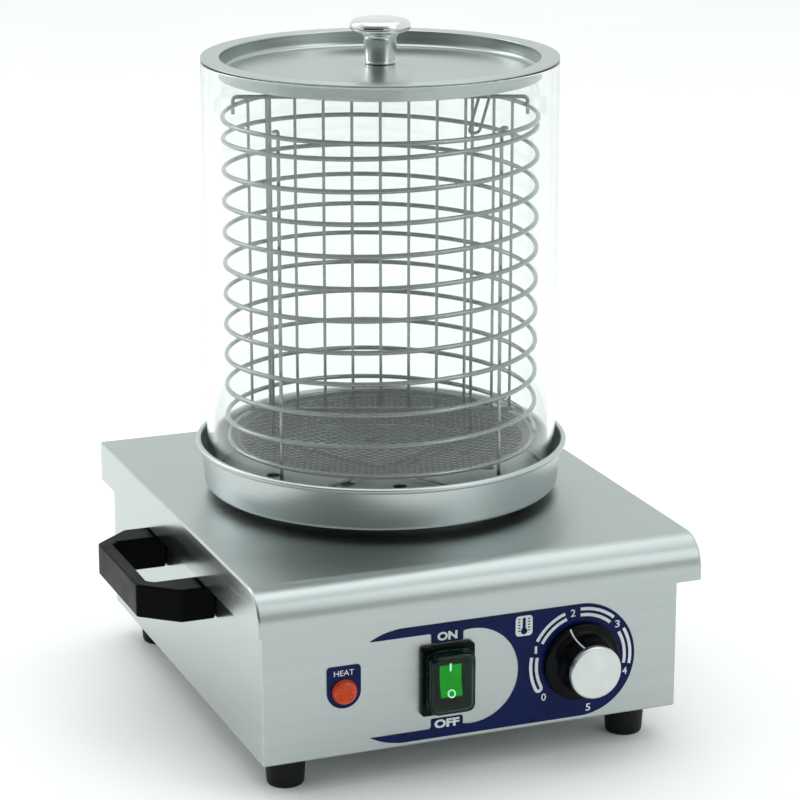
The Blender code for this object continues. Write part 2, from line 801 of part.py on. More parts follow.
def terminals(plastic, zinc):
    low = BODY_BOTTOM + BODY_SHEET + FLOOR_SHEET + 2 * GAP
    box(
        "terminal_block",
        (GLAND_X - 15 * MM, BLOCK_Y - 9 * MM, low),
        (GLAND_X + 15 * MM, BLOCK_Y + 9 * MM, low + 16 * MM),
        plastic,
    )
    stud = [
        (0, low),
        (4.6 * MM, low),
        (4.6 * MM, low + 3.5 * MM),
        (2.4 * MM, low + 3.5 * MM),
        (2.4 * MM, low + 6.5 * MM),
        (4.6 * MM, low + 6.5 * MM),
        (4.6 * MM, low + 10 * MM),
        (2.4 * MM, low + 10 * MM),
        (2.4 * MM, low + 13 * MM),
        (0, low + 13 * MM),
    ]
    lathe("earth_stud", stud, (-28 * MM, 122 * MM, 0), zinc, "Z", 6)


def wires(brown, blue, green):
    """Leads held at both ends inside the housing."""
    block = BLOCK_Y - 9 * MM - GAP
    switch_back = BODY_FRONT + 26 * MM + GAP
    stat_back = BODY_FRONT + BODY_SHEET + 22 * MM + 2 * GAP
    lamp_back = BODY_FRONT + 23 * MM + GAP
    front_y = AXIS_Y - math.sqrt(ELEMENT_R**2 - ELEMENT_END_X**2)
    end_z = 98 * MM - GAP
    routes = {
        "wire_live": (brown, [(-70, block / MM, 31), (-70, 60, 31), (-70, -70, 34),
                              (-50, -92, 44), (-20, -92, 47), (-20, switch_back / MM, 47)]),
        "wire_switched": (brown, [(-12, switch_back / MM, 62), (-12, -94, 62),
                                  (46, -94, 44), (50, stat_back / MM, 44)]),
        "wire_heater": (brown, [(74, stat_back / MM, 46), (74, -92, 46), (48, -70, 70),
                                (8.4, front_y / MM, 84), (8.4, front_y / MM, end_z / MM)]),
        "wire_neutral": (blue, [(-60, block / MM, 31), (-60, 50, 31), (-44, -20, 52),
                                (-8.4, front_y / MM, 80), (-8.4, front_y / MM, end_z / MM)]),
        "wire_lamp": (blue, [(LAMP_X / MM, lamp_back / MM, 57), (LAMP_X / MM, -100, 57),
                             (-26, -98, 60), (-24, switch_back / MM, 60)]),
        "wire_earth": (green, [(-50, block / MM, 31), (-50, 92, 31), (-30, 92, 30),
                               (-28, 110, 30), (-28, 117.2, 30)]),
    }
    for name, (mat, route) in routes.items():
        points = [tuple(v * MM for v in spot) for spot in route]
        sweep(name, smooth_path(points, 9 * MM, 3), 1.1 * MM, mat, 5)


def water_pan(steel):
    t = PAN_SHEET
    rim_r = 1.7 * MM
    rim_mid = (PAN_RIM_R - rim_r, PAN_RIM_TOP - rim_r)
    corner = 3.5 * MM
    low = (PAN_WALL_LOW_R - corner, PAN_LOW + corner)
    profile = [(0, PAN_LOW)]
    profile += arc(low, corner, -90, 0, 2)
    profile += [(PAN_WALL_TOP_R, PAN_RIM_TOP - 2 * rim_r - 0.2 * MM)]
    profile += arc(rim_mid, rim_r, -100, 135, 5)
    profile += [(PAN_WALL_TOP_R - t, PAN_RIM_TOP - 2 * rim_r)]
    profile += arc(low, corner - t, 0, -90, 2)
    profile += [(0, PAN_LOW + t)]
    lathe("water_pan", profile, (0, AXIS_Y, 0), steel, "Z", AXIS_STEPS)


def steam_plate(steel):
    """Perforated inverted tray on the pan floor. Glass and basket stand on it."""
    low = PAN_LOW + PAN_SHEET + GAP
    top = GLASS_LOW - GAP
    edge = GLASS_R - 0.6 * MM
    t = 0.8 * MM
    profile = [
        (0, top),
        (0, top - t),
        (edge - t, top - t),
        (edge - t, low + 0.9 * MM),
        (edge - 2.4 * MM, low),
        (edge - 1.4 * MM, low),
        (edge, low + 0.9 * MM),
        (edge, top),
    ]
    plate = lathe("steam_plate", profile, (0, AXIS_Y, 0), steel, "Z", AXIS_STEPS)
    spots = []
    for radius, count in ((30, 6), (62, 12)):
        for i in range(count):
            angle = 2 * math.pi * (i + 0.5) / count
            x = radius * MM * math.cos(angle)
            y = AXIS_Y + radius * MM * math.sin(angle)
            spots.append((x, y, 0))
    cut(plate, rods("plate_holes", spots, 4 * MM, low - 5 * MM, top + 5 * MM, "Z", 8))


def glass_cylinder(glass):
    wall = tube_profile(GLASS_R - GLASS_WALL, GLASS_R, GLASS_LOW, GLASS_TOP)
    lathe("glass_cylinder", wall, (0, AXIS_Y, 0), glass, "Z", AXIS_STEPS)


def ring_points(radius, z, count=36):
    points = arc((0, AXIS_Y), radius, 0, 360, count)[:-1]
    return [(x, y, z) for x, y in points]


def facing(across, back, z):
    """A point given as seen from the basket's own front: right, back and up."""
    turn = math.radians(BASKET_TURN_DEG)
    x = across * math.cos(turn) - back * math.sin(turn)
    y = across * math.sin(turn) + back * math.cos(turn)
    return (x, AXIS_Y + y, z)


def basket(steel):
    count = int(COIL_TURNS * 24)
    coil = []
    for i in range(count + 1):
        turn = i / 24
        angle = math.radians(COIL_START_DEG) + 2 * math.pi * turn
        x = COIL_R * math.cos(angle)
        y = AXIS_Y + COIL_R * math.sin(angle)
        coil.append((x, y, COIL_LOW + COIL_PITCH * turn))
    sweep("basket_coil", coil, COIL_WIRE, steel, 5)
    sweep("basket_top_ring", ring_points(TOP_RING_R, TOP_RING_Z), COIL_WIRE, steel, 6, True)
    sweep("basket_low_ring", ring_points(LOW_RING_R, LOW_RING_Z), COIL_WIRE, steel, 6, True)
    frame = sweep("basket_frame", frame_path(50.0), UPRIGHT_WIRE, steel, 6)
    join(frame, sweep("frame_crossing", frame_path(140.0), UPRIGHT_WIRE, None, 6))
    basket_floor(steel)


def frame_path(turn_deg):
    """One U-shaped wire: down one side, across under the floor, up the other."""
    turn = math.radians(BASKET_TURN_DEG - 90 + turn_deg)
    over = TOP_RING_Z + COIL_WIRE + UPRIGHT_WIRE + GAP
    low = GLASS_LOW + UPRIGHT_WIRE + 0.5 * MM
    side = [(TOP_RING_R, over), (UPRIGHT_R, over), (UPRIGHT_R, low), (0, low)]
    corners = side + [(-r, z) for r, z in reversed(side[:-1])]
    way = Vector((math.cos(turn), math.sin(turn), 0))
    mid = Vector((0, AXIS_Y, 0))
    points = [mid + way * r + Vector((0, 0, z)) for r, z in corners]
    return smooth_path(points, 4 * MM, 3)


def basket_floor(steel):
    """Dished floor inside the lower ring; the sausages stand on it."""
    edge = UPRIGHT_R - UPRIGHT_WIRE - GAP - 0.3 * MM
    top = LOW_RING_Z - 1.4 * MM
    dip = 9 * MM
    t = 1.2 * MM
    upper = [(edge * k / 3, top - dip * (1 - (k / 3) ** 2)) for k in range(4)]
    lower = [(r, z - t) for r, z in reversed(upper)]
    lathe("basket_floor", upper + lower, (0, AXIS_Y, 0), steel, "Z", 28)


def divider(steel):
    """Flat grid hooked over the basket's top ring, with a wire tab to lift it."""
    back = DIVIDER_SET_BACK
    edge = DIVIDER_EDGE
    hook = 10 * MM
    ring = math.sqrt(TOP_RING_R**2 - back**2)
    out = ring + (COIL_WIRE + DIVIDER_WIRE + GAP) * TOP_RING_R / ring + 0.5 * MM
    half = [(out, DIVIDER_TOP - hook), (out, DIVIDER_TOP)]
    corners = half + [(-a, z) for a, z in reversed(half)]
    points = [facing(a, back, z) for a, z in corners]
    grid = sweep("divider", smooth_path(points, 3 * MM, 3), DIVIDER_WIRE, steel, 6)
    mesh = bmesh.new()
    for k in range(-5, 6):
        a = max(-edge, min(edge, k * DIVIDER_PITCH))
        ends = [facing(a, back, DIVIDER_LOW), facing(a, back, DIVIDER_TOP)]
        add_sweep(mesh, ends, DIVIDER_ROD, 6)
    join(grid, add_object("divider_rods", mesh, (0, 0, 0), None))
    reach = edge + 2 * MM
    ends = [facing(-reach, back, DIVIDER_LOW), facing(reach, back, DIVIDER_LOW)]
    join(grid, sweep("divider_foot", ends, DIVIDER_WIRE, None, 6))
    over = DIVIDER_TOP + DIVIDER_WIRE * 0.6
    tab = [(62, back / MM + 3, over / MM), (62, back / MM - 8, over / MM), (56, back / MM - 14, 324),
           (50, back / MM - 14, 324), (56, back / MM - 8, over / MM), (56, back / MM + 3, over / MM)]
    points = [facing(a * MM, b * MM, z * MM) for a, b, z in tab]
    join(grid, sweep("divider_tab", smooth_path(points, 3 * MM, 3), DIVIDER_ROD, None, 6))


def lid(steel, chrome, zinc):
    t = LID_SHEET
    mid = (0, AXIS_Y, 0)
    plug = LID_PLUG_R
    low = LID_PLUG_LOW
    rise = 4.9 * MM
    upper = [(r * MM, low + t + rise * math.cos(math.radians(r))) for r in (2.8, 40, 66, 82)]
    lower = [(r, z - t) for r, z in upper]
    top = LID_FLANGE_LOW + t
    profile = upper + [(plug - 2.6 * MM, low + t), (plug - t, low + 2.8 * MM), (plug - t, top)]
    profile += [(GLASS_R, top), (GLASS_R, LID_FLANGE_LOW), (plug, LID_FLANGE_LOW)]
    profile += [(plug, low + 2.4 * MM), (plug - 2.4 * MM, low)] + lower[::-1]
    lathe("lid_dish", profile, mid, steel, "Z", AXIS_STEPS)
    seat = low + t + rise + GAP
    knob_profile = [
        (2.4 * MM, seat),
        (8.2 * MM, seat),
        (8.5 * MM, seat + 3 * MM),
        (7.9 * MM, seat + 3.6 * MM),
        (8.6 * MM, seat + 4.2 * MM),
        (9.4 * MM, seat + 14 * MM),
        (10.6 * MM, seat + 17 * MM),
        (LID_KNOB_R - 1.2 * MM, seat + 18.2 * MM),
        (LID_KNOB_R, seat + 19.6 * MM),
        (LID_KNOB_R, LID_KNOB_TOP - 3.2 * MM),
        (LID_KNOB_R - 1.4 * MM, LID_KNOB_TOP - 1.5 * MM),
        (LID_KNOB_R - 6 * MM, LID_KNOB_TOP - 0.4 * MM),
        (0, LID_KNOB_TOP),
        (0, seat + 12 * MM),
        (2.4 * MM, seat + 12 * MM),
    ]
    lathe("lid_knob", knob_profile, mid, chrome, "Z", 20)
    head = low + rise - GAP
    screw = [
        (0, head - 2.2 * MM),
        (3.4 * MM, head - 1.8 * MM),
        (4.4 * MM, head),
        (2.0 * MM, head),
        (2.0 * MM, seat + 10 * MM),
        (0, seat + 10 * MM),
    ]
    lathe("lid_screw", screw, mid, zinc, "Z", 10)


def main():
    clear_scene()
    steel = material("stainless", STEEL, 1.0, 0.32)
    sheet = material("stainless_sheet", STEEL, 1.0, 0.4)
    zinc = material("zinc", (0.55, 0.55, 0.52), 1.0, 0.35)
    alloy = material("heater_alloy", (0.35, 0.35, 0.35), 1.0, 0.55)
    chrome = material("chrome", (0.8, 0.8, 0.8), 1.0, 0.08)
    rubber = material("rubber", BLACK, 0.0, 0.7)
    plastic = material("black_plastic", BLACK, 0.0, 0.45)
    blue = material("blue_film", (0.006, 0.03, 0.14), 0.0, 0.3)
    amber = material("amber_lens", (0.9, 0.22, 0.02), 0.0, 0.2)
    green = material("green_rocker", (0.0, 0.5, 0.02), 0.0, 0.3)
    hood = material("green_hood", (0.01, 0.09, 0.04), 0.0, 0.25, 0.4)
    silver = material("knob_silver", (0.75, 0.76, 0.75), 1.0, 0.3)
    copper = material("copper", (0.7, 0.35, 0.2), 1.0, 0.35)
    ceramic = material("cutout_ceramic", (0.75, 0.72, 0.65), 0.0, 0.5)
    brown = material("wire_brown", (0.16, 0.06, 0.02), 0.0, 0.5)
    light_blue = material("wire_blue", (0.02, 0.1, 0.4), 0.0, 0.5)
    earth = material("wire_green", (0.1, 0.4, 0.05), 0.0, 0.5)
    glass = material("clear_glass", (0.93, 0.97, 0.96), 0.0, 0.02, 1.0)
    top_cover(sheet)
    body_shell(sheet)
    bottom_plate(sheet)
    feet(rubber, zinc)
    base_screws(zinc)
    handles(plastic, zinc)
    films(blue)
    pilot_lamp(amber, plastic)
    switch(plastic, green, hood)
    knob(plastic, silver, zinc)
    thermostat(plastic, copper)
    heater(alloy, steel, zinc, ceramic)
    gland(plastic)
    terminals(plastic, zinc)
    wires(brown, light_blue, earth)
    water_pan(steel)
    steam_plate(steel)
    glass_cylinder(glass)
    basket(steel)
    divider(steel)
    lid(steel, chrome, zinc)


main()
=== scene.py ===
"""Looks for the hot dog steamer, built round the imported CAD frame."""

import json
from math import acos, atan2, cos, degrees, pi, radians, sin, sqrt

import bmesh
import bpy
from mathutils import Matrix, Vector


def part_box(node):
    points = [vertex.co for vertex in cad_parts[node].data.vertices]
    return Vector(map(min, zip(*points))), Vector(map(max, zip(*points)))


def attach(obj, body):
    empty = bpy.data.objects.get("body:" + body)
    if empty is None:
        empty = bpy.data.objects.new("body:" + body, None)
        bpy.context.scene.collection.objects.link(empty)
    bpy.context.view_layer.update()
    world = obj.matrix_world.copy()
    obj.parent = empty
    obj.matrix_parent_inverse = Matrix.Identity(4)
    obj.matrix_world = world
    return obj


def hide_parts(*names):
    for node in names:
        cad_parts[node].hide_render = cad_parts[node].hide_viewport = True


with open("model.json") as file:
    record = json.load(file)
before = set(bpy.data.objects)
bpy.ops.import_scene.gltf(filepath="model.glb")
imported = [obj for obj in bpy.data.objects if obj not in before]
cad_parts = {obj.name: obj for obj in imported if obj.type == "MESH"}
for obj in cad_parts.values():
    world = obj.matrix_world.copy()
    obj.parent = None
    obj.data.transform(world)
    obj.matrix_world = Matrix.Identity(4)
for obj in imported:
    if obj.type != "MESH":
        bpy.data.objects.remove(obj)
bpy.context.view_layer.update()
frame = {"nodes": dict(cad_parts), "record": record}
MM = 0.001
SCENE = bpy.context.scene
PRINT = 0.1 * MM


def span(node):
    low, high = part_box(node)
    return low, high, (low + high) / 2


GLASS_LOW, GLASS_HIGH, GLASS_MID = span("glass_cylinder")
AXIS = Vector((GLASS_MID.x, GLASS_MID.y, 0))
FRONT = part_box("body_shell")[0].y
FILM_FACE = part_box("panel_film")[0].y
DIAL = span("knob_body")[2]
LENS = span("lamp_lens")[2]
BASKET_TURN = radians(-21.0)  # the basket's front, turned from the housing's
SWITCH_Z = 56.3 * MM  # the rocker's pivot height
FRONT_ROLL = 17.5 * MM  # the cover's round front edge
REAR_BEND = 2.0 * MM
LEVEL = 1e-6  # two heights nearer than this are level


def mm(*values):
    return [value * MM for value in values]


def above(level, *pairs):
    """Outline points from millimetres: out, and up from a level in metres."""
    return [(out * MM, level + up * MM) for out, up in pairs]


# --- materials

def fill_ramp(band, stops):
    while len(band.elements) < len(stops):
        band.elements.new(0.5)
    for element, (place_at, colour) in zip(band.elements, stops):
        element.position = place_at
        element.color = (*colour, 1.0)


class Look:
    """A node material, built up from a Principled shader."""

    def __init__(self, name, colour, metallic=0.0, rough=0.4):
        self.mat = bpy.data.materials.new(name)
        self.mat.use_nodes = True
        self.tree = self.mat.node_tree
        self.shader = self.tree.nodes["Principled BSDF"]
        self.set(Base_Color=(*colour, 1.0), Metallic=metallic, Roughness=rough)
        self.coords = self.add("ShaderNodeTexCoord").outputs["Object"]

    def set(self, **values):
        for key, value in values.items():
            self.shader.inputs[key.replace("_", " ")].default_value = value

    def add(self, kind, inputs=(), **settings):
        """A node. Each input is a value, or another node's output to link."""
        node = self.tree.nodes.new(kind)
        for key, value in settings.items():
            setattr(node, key, value)
        for key, value in dict(inputs).items():
            if isinstance(value, bpy.types.NodeSocket):
                self.link(value, node.inputs[key])
            else:
                node.inputs[key].default_value = value
        return node

    def link(self, source, target):
        self.tree.links.new(source, target)

    def wear(self, source, name):
        self.link(source, self.shader.inputs[name])

    def math(self, kind, *values):
        return self.add("ShaderNodeMath", enumerate(values), operation=kind).outputs[0]

    def stretched(self, scale, vector=None):
        return self.add("ShaderNodeMapping", {"Scale": scale, "Vector": vector or self.coords}).outputs[0]

    def noise(self, vector, scale=1.0, detail=3.0, rough=0.55):
        inputs = {"Vector": vector, "Scale": scale, "Detail": detail, "Roughness": rough}
        return self.add("ShaderNodeTexNoise", inputs).outputs["Fac"]

    def ramp(self, source, stops):
        node = self.add("ShaderNodeValToRGB", {0: source})
        fill_ramp(node.color_ramp, stops)
        return node.outputs[0]

    def tint(self, source, dark, light, near=0.3, far=0.7):
        self.wear(self.ramp(source, [(near, dark), (far, light)]), "Base Color")

    def roughen(self, source, low, high, near=0.3, far=0.7):
        inputs = {"Value": source, "From Min": near, "From Max": far, "To Min": low, "To Max": high}
        self.wear(self.add("ShaderNodeMapRange", inputs).outputs[0], "Roughness")

    def bump(self, source, strength, depth):
        node = self.add("ShaderNodeBump", {"Height": source, "Strength": strength, "Distance": depth})
        self.wear(node.outputs[0], "Normal")

    def average(self, one, two, share):
        return self.add("ShaderNodeMix", {0: share, 2: one, 3: two}, data_type="FLOAT").outputs[0]


def shades(colour, low, high):
    return tuple(c * low for c in colour), tuple(c * high for c in colour)


def spread_from(look, parts, sides, mid=(0.0, 0.0)):
    """Distance from an axis through mid, from two of the coordinates."""
    squares = []
    for side, at in zip(sides, mid):
        squares.append(look.math("POWER", look.math("SUBTRACT", parts.outputs[side], at), 2.0))
    return look.math("SQRT", look.math("ADD", *squares))


def brushed(name, colour, rough, along, sheen=0.55):
    """Sheet steel, brushed along one axis: fine streaks, faint clouds."""
    look = Look(name, colour, 1.0, rough)
    scale = [4200.0, 4200.0, 4200.0]
    scale[along] = 26.0
    fine = look.noise(look.stretched(scale), 1.0, 2.0, 0.6)
    wide = [260.0, 260.0, 260.0]
    wide[along] = 5.0
    broad = look.noise(look.stretched(wide), 1.0, 3.0, 0.5)
    cloud = look.noise(look.coords, 9.0, 3.0, 0.5)
    streak = look.average(fine, broad, 0.45)
    mixed = look.average(streak, cloud, 0.3)
    look.tint(mixed, *shades(colour, 0.9, 1.08))
    look.roughen(mixed, rough - 0.05, rough + 0.07)
    look.bump(streak, 0.1, 0.03 * MM)
    look.wear(look.add("ShaderNodeCombineXYZ", {along: 1.0}).outputs[0], "Tangent")
    look.set(Anisotropic=sheen)
    return look.mat


def spun(name, colour, rough, sheen=0.6):
    """Spun steel: tool rings round the upright axis, and a radial tangent."""
    look = Look(name, colour, 1.0, rough)
    parts = look.add("ShaderNodeSeparateXYZ", {0: look.coords})
    rings = look.add("ShaderNodeCombineXYZ", {0: spread_from(look, parts, (0, 1)), 1: parts.outputs[2]})
    fine = look.noise(look.stretched((3600.0, 3600.0, 1.0), rings.outputs[0]), 1.0, 2.0, 0.6)
    broad = look.noise(look.stretched((420.0, 420.0, 1.0), rings.outputs[0]), 1.0, 2.0, 0.5)
    cloud = look.noise(look.coords, 14.0, 3.0, 0.5)
    ring = look.average(fine, broad, 0.5)
    mixed = look.average(ring, cloud, 0.35)
    look.tint(mixed, *shades(colour, 0.88, 1.07))
    look.roughen(mixed, rough - 0.05, rough + 0.07)
    look.bump(ring, 0.12, 0.02 * MM)
    tangent = look.add("ShaderNodeTangent", direction_type="RADIAL", axis="Z")
    look.wear(tangent.outputs[0], "Tangent")
    look.set(Anisotropic=sheen)
    return look.mat


def metal(name, colour, rough, grain=700.0, low=0.85, high=1.1):
    look = Look(name, colour, 1.0, rough)
    fine = look.noise(look.coords, grain, 3.0, 0.6)
    cloud = look.noise(look.coords, 40.0, 2.0, 0.5)
    mixed = look.average(fine, cloud, 0.5)
    look.tint(mixed, *shades(colour, low, high))
    look.roughen(mixed, max(rough - 0.04, 0.02), rough + 0.06)
    look.bump(fine, 0.06, 0.02 * MM)
    return look.mat


def plastic(name, colour, rough, grain=2600.0, depth=0.03, low=0.7, high=1.35, gloss=0.25):
    look = Look(name, colour, 0.0, rough)
    fine = look.noise(look.coords, grain, 3.0, 0.6)
    cloud = look.noise(look.coords, 55.0, 3.0, 0.5)
    look.tint(look.average(fine, cloud, 0.5), *shades(colour, low, high))
    look.roughen(cloud, rough - 0.06, rough + 0.08)
    look.bump(fine, 0.25, depth * MM)
    look.set(Specular_IOR_Level=gloss)
    return look.mat


def lit_plastic(name, colour, glow, strength, rough=0.25):
    look = Look(name, colour, 0.0, rough)
    cloud = look.noise(look.coords, 160.0, 2.0, 0.5)
    look.tint(cloud, *shades(colour, 0.8, 1.1))
    look.roughen(cloud, rough - 0.05, rough + 0.08)
    shade, full = shades(glow, 0.8, 1.0)
    look.wear(look.ramp(cloud, [(0.3, shade), (0.7, full)]), "Emission Color")
    look.set(Emission_Strength=strength)
    return look.mat


def see_through(name, colour, rough, ior, clear=1.0, gloss=0.5):
    """Clear to light: shadow rays pass, tinted, so what stands inside is lit."""
    look = Look(name, colour, 0.0, rough)
    smudge = look.noise(look.coords, 22.0, 4.0, 0.6)
    look.roughen(smudge, rough, rough + 0.02, 0.45, 0.75)
    look.tint(smudge, *shades(colour, 0.985, 1.0))
    look.set(Transmission_Weight=clear, IOR=ior, Specular_IOR_Level=gloss)
    passing = look.add("ShaderNodeBsdfTransparent", {"Color": (*colour, 1.0)})
    shadow = look.add("ShaderNodeLightPath").outputs["Is Shadow Ray"]
    mix = look.add("ShaderNodeMixShader", {0: shadow, 1: look.shader.outputs[0], 2: passing.outputs[0]})
    look.link(mix.outputs[0], look.tree.nodes["Material Output"].inputs["Surface"])
    return look.mat


# the steel for the left and right faces: a lighter, glossier copy of the sheet steel, painted light for how
# light falls on the sides
LIT_SIDE_STEEL = (0.5, 0.55, 0.545)
LOOKS = {
    "stainless_sheet": brushed("sheet_steel", (0.44, 0.485, 0.48), 0.33, 0),
    # side faces: the sheet steel painted lighter, a painted highlight for the light on the sides
    "stainless_side": brushed("side_steel_painted_lighter", LIT_SIDE_STEEL, 0.2, 1, 0.4),
    "stainless_formed": spun("spun_steel", (0.52, 0.565, 0.56), 0.3),
    "lid_steel": spun("lid_steel", (0.435, 0.48, 0.47), 0.22, 0.7),
    "stainless_wire": metal("wire_steel", (0.26, 0.29, 0.28), 0.16, 500.0),
    "mesh_wire": metal("mesh_steel", (0.17, 0.19, 0.185), 0.3, 900.0),
    "clear_glass": see_through("clear_glass", (0.945, 0.97, 0.965), 0.0, 1.46),
    "chrome_knob": metal("chrome", (0.72, 0.74, 0.74), 0.05, 120.0, 0.97, 1.03),
    "zinc_fastener": metal("zinc", (0.5, 0.5, 0.47), 0.32, 900.0),
    "black_rubber": plastic("rubber", (0.005, 0.006, 0.007), 0.5, 1500.0, 0.05, gloss=0.2),
    "black_plastic": plastic("black_plastic", (0.0015, 0.002, 0.0025), 0.34, gloss=0.05),
    "glossy_black": plastic("glossy_black", (0.0025, 0.003, 0.0035), 0.25, 1800.0, 0.012, gloss=0.1),
    "blue_film": plastic("blue_film", (0.0015, 0.01, 0.075), 0.3, 1200.0, 0.008, 0.85, 1.15, gloss=0.12),
    "white_print": plastic("white_print", (0.78, 0.82, 0.83), 0.45, 1500.0, 0.01, 0.95, 1.03),
    "amber_lens": lit_plastic("amber_lens", (0.5, 0.05, 0.008), (0.8, 0.1, 0.015), 0.12),
    "green_rocker": lit_plastic("green_rocker", (0.0, 0.45, 0.02), (0.0, 0.62, 0.01), 1.9),
    "green_key": plastic("green_key", (0.0008, 0.01, 0.005), 0.3, gloss=0.1),
    "white_glow": lit_plastic("white_glow", (0.85, 0.9, 0.85), (1.0, 0.62, 0.72), 7.0),
    "green_hood": see_through("green_hood", (0.08, 0.25, 0.16), 0.04, 1.3, 0.98, 0.03),
    "knob_silver": metal("knob_silver", (0.78, 0.79, 0.78), 0.28, 2000.0, 0.94, 1.04),
    "heater_alloy": metal("heater_alloy", (0.3, 0.3, 0.3), 0.5, 400.0),
    "copper_capillary": metal("copper", (0.62, 0.3, 0.17), 0.3, 600.0),
    "cutout_ceramic": plastic("ceramic", (0.62, 0.58, 0.5), 0.5, 900.0),
    "wire_brown": plastic("wire_brown", (0.1, 0.035, 0.012), 0.45, 1200.0),
    "wire_blue": plastic("wire_blue", (0.012, 0.075, 0.32), 0.45, 1200.0),
    "wire_green": plastic("wire_green", (0.12, 0.32, 0.02), 0.45, 1200.0),
}


# --- mesh code

def new_object(name, mesh):
    """A scene object from a bmesh, which it uses up."""
    data = bpy.data.meshes.new(name)
    mesh.to_mesh(data)
    mesh.free()
    obj = bpy.data.objects.new(name, data)
    SCENE.collection.objects.link(obj)
    return obj


def smooth(data, angle):
    data.polygons.foreach_set("use_smooth", [True] * len(data.polygons))
    data.set_sharp_from_angle(angle=radians(angle))


def place(name, mesh, look, body, nodes=(), angle=35.0, flat=False):
    """Turn a bmesh into a shaded piece that rides on a body.

    Edges sharper than angle stay sharp, and flat keeps wide faces even.
    """
    bmesh.ops.remove_doubles(mesh, verts=mesh.verts, dist=1e-7)
    bmesh.ops.recalc_face_normals(mesh, faces=mesh.faces)
    obj = new_object(name, mesh)
    smooth(obj.data, angle)
    obj.data.materials.append(LOOKS[look])
    if flat:
        weighted = obj.modifiers.new("even_faces", "WEIGHTED_NORMAL")
        weighted.keep_sharp = True
    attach(obj, body)
    if nodes:
        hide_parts(*nodes)
    return obj


def loose(mesh):
    bmesh.ops.recalc_face_normals(mesh, faces=mesh.faces)
    return new_object("cutter", mesh)


def bridge(mesh, one, two):
    """Faces between two rings, either of which may be a single point."""
    count = max(len(one), len(two))
    for i in range(count):
        j = (i + 1) % count
        loop = [one[i % len(one)], one[j % len(one)], two[j % len(two)], two[i % len(two)]]
        mesh.faces.new(list(dict.fromkeys(loop)))


def shape(mesh, others, operation="DIFFERENCE"):
    """Cut the other bmeshes from one, or join them to it."""
    base = loose(mesh)
    tools = [loose(other) for other in others]
    for tool in tools:
        modifier = base.modifiers.new("step", "BOOLEAN")
        modifier.operation = operation
        modifier.solver = "EXACT"
        modifier.object = tool
    graph = bpy.context.evaluated_depsgraph_get()
    made = bpy.data.meshes.new_from_object(base.evaluated_get(graph))
    result = bmesh.new()
    result.from_mesh(made)
    for obj in [base] + tools:
        bpy.data.objects.remove(obj, do_unlink=True)
    return result


def prism(outline, along, low, high):
    """Extrude a closed outline along axis 0, 1 or 2."""
    order = {0: (2, 0, 1), 1: (0, 2, 1), 2: (0, 1, 2)}[along]
    mesh = bmesh.new()

    def corner(a, b, c):
        spot = (a, b, c)
        return mesh.verts.new([spot[i] for i in order])

    first = [corner(a, b, low) for a, b in outline]
    last = [corner(a, b, high) for a, b in outline]
    mesh.faces.new(first)
    mesh.faces.new(last[::-1])
    bridge(mesh, last, first)
    bmesh.ops.recalc_face_normals(mesh, faces=mesh.faces)
    return mesh


def soften(mesh, offset, steps=3, angle=40.0, pick=None):
    """Bevel the edges sharper than an angle."""
    edges = []
    for edge in mesh.edges:
        if len(edge.link_faces) != 2 or edge.calc_face_angle(0) < radians(angle):
            continue
        if pick is None or pick(edge):
            edges.append(edge)
    bmesh.ops.bevel(
        mesh, geom=edges, offset=offset, offset_type="OFFSET", segments=steps,
        profile=0.5, affect="EDGES", clamp_overlap=True,
    )
    return mesh


def slab(low, high):
    low, high = Vector(low), Vector(high)
    mesh = bmesh.new()
    spot = Matrix.Translation((low + high) / 2) @ Matrix.Diagonal((*(high - low), 1.0))
    bmesh.ops.create_cube(mesh, size=1.0, matrix=spot)
    return mesh


def turned(profile, steps=96, axis=2, base=(0, 0, 0)):
    """Turn a closed (radius, height) outline round an axis through base."""
    mesh = bmesh.new()
    base = Vector(base)

    def spot(radius, height, angle):
        a, b = radius * cos(angle), radius * sin(angle)
        return base + Vector({0: (height, a, b), 1: (a, height, b), 2: (a, b, height)}[axis])

    rings = []
    for radius, height in profile:
        count = 1 if radius < 1e-9 else steps
        rings.append([mesh.verts.new(spot(radius, height, 2 * pi * i / steps)) for i in range(count)])
    for one, two in zip(rings, rings[1:] + rings[:1]):
        if len(one) > 1 or len(two) > 1:
            bridge(mesh, one, two)
    bmesh.ops.recalc_face_normals(mesh, faces=mesh.faces)
    return mesh


def rounded(profile, reach, steps=4, closed=True):
    """Replace each corner of an outline with a short curve."""
    found = []
    count = len(profile)
    for i, here in enumerate(profile):
        here = Vector(here)
        size = reach[i] if isinstance(reach, (list, tuple)) else reach
        ends = not closed and i in (0, count - 1)
        if size <= 0 or ends:
            found.append(tuple(here))
            continue
        before = Vector(profile[i - 1])
        after = Vector(profile[(i + 1) % count])
        size = min(size, (before - here).length * 0.48, (after - here).length * 0.48)
        start = here + (before - here).normalized() * size
        end = here + (after - here).normalized() * size
        for k in range(steps + 1):
            t = k / steps
            found.append(tuple(start * (1 - t) ** 2 + here * 2 * t * (1 - t) + end * t ** 2))
    return found


def arc(mid, radius, start, end, count):
    found = []
    for i in range(count + 1):
        angle = radians(start + (end - start) * i / count)
        found.append((mid[0] + radius * cos(angle), mid[1] + radius * sin(angle)))
    return found


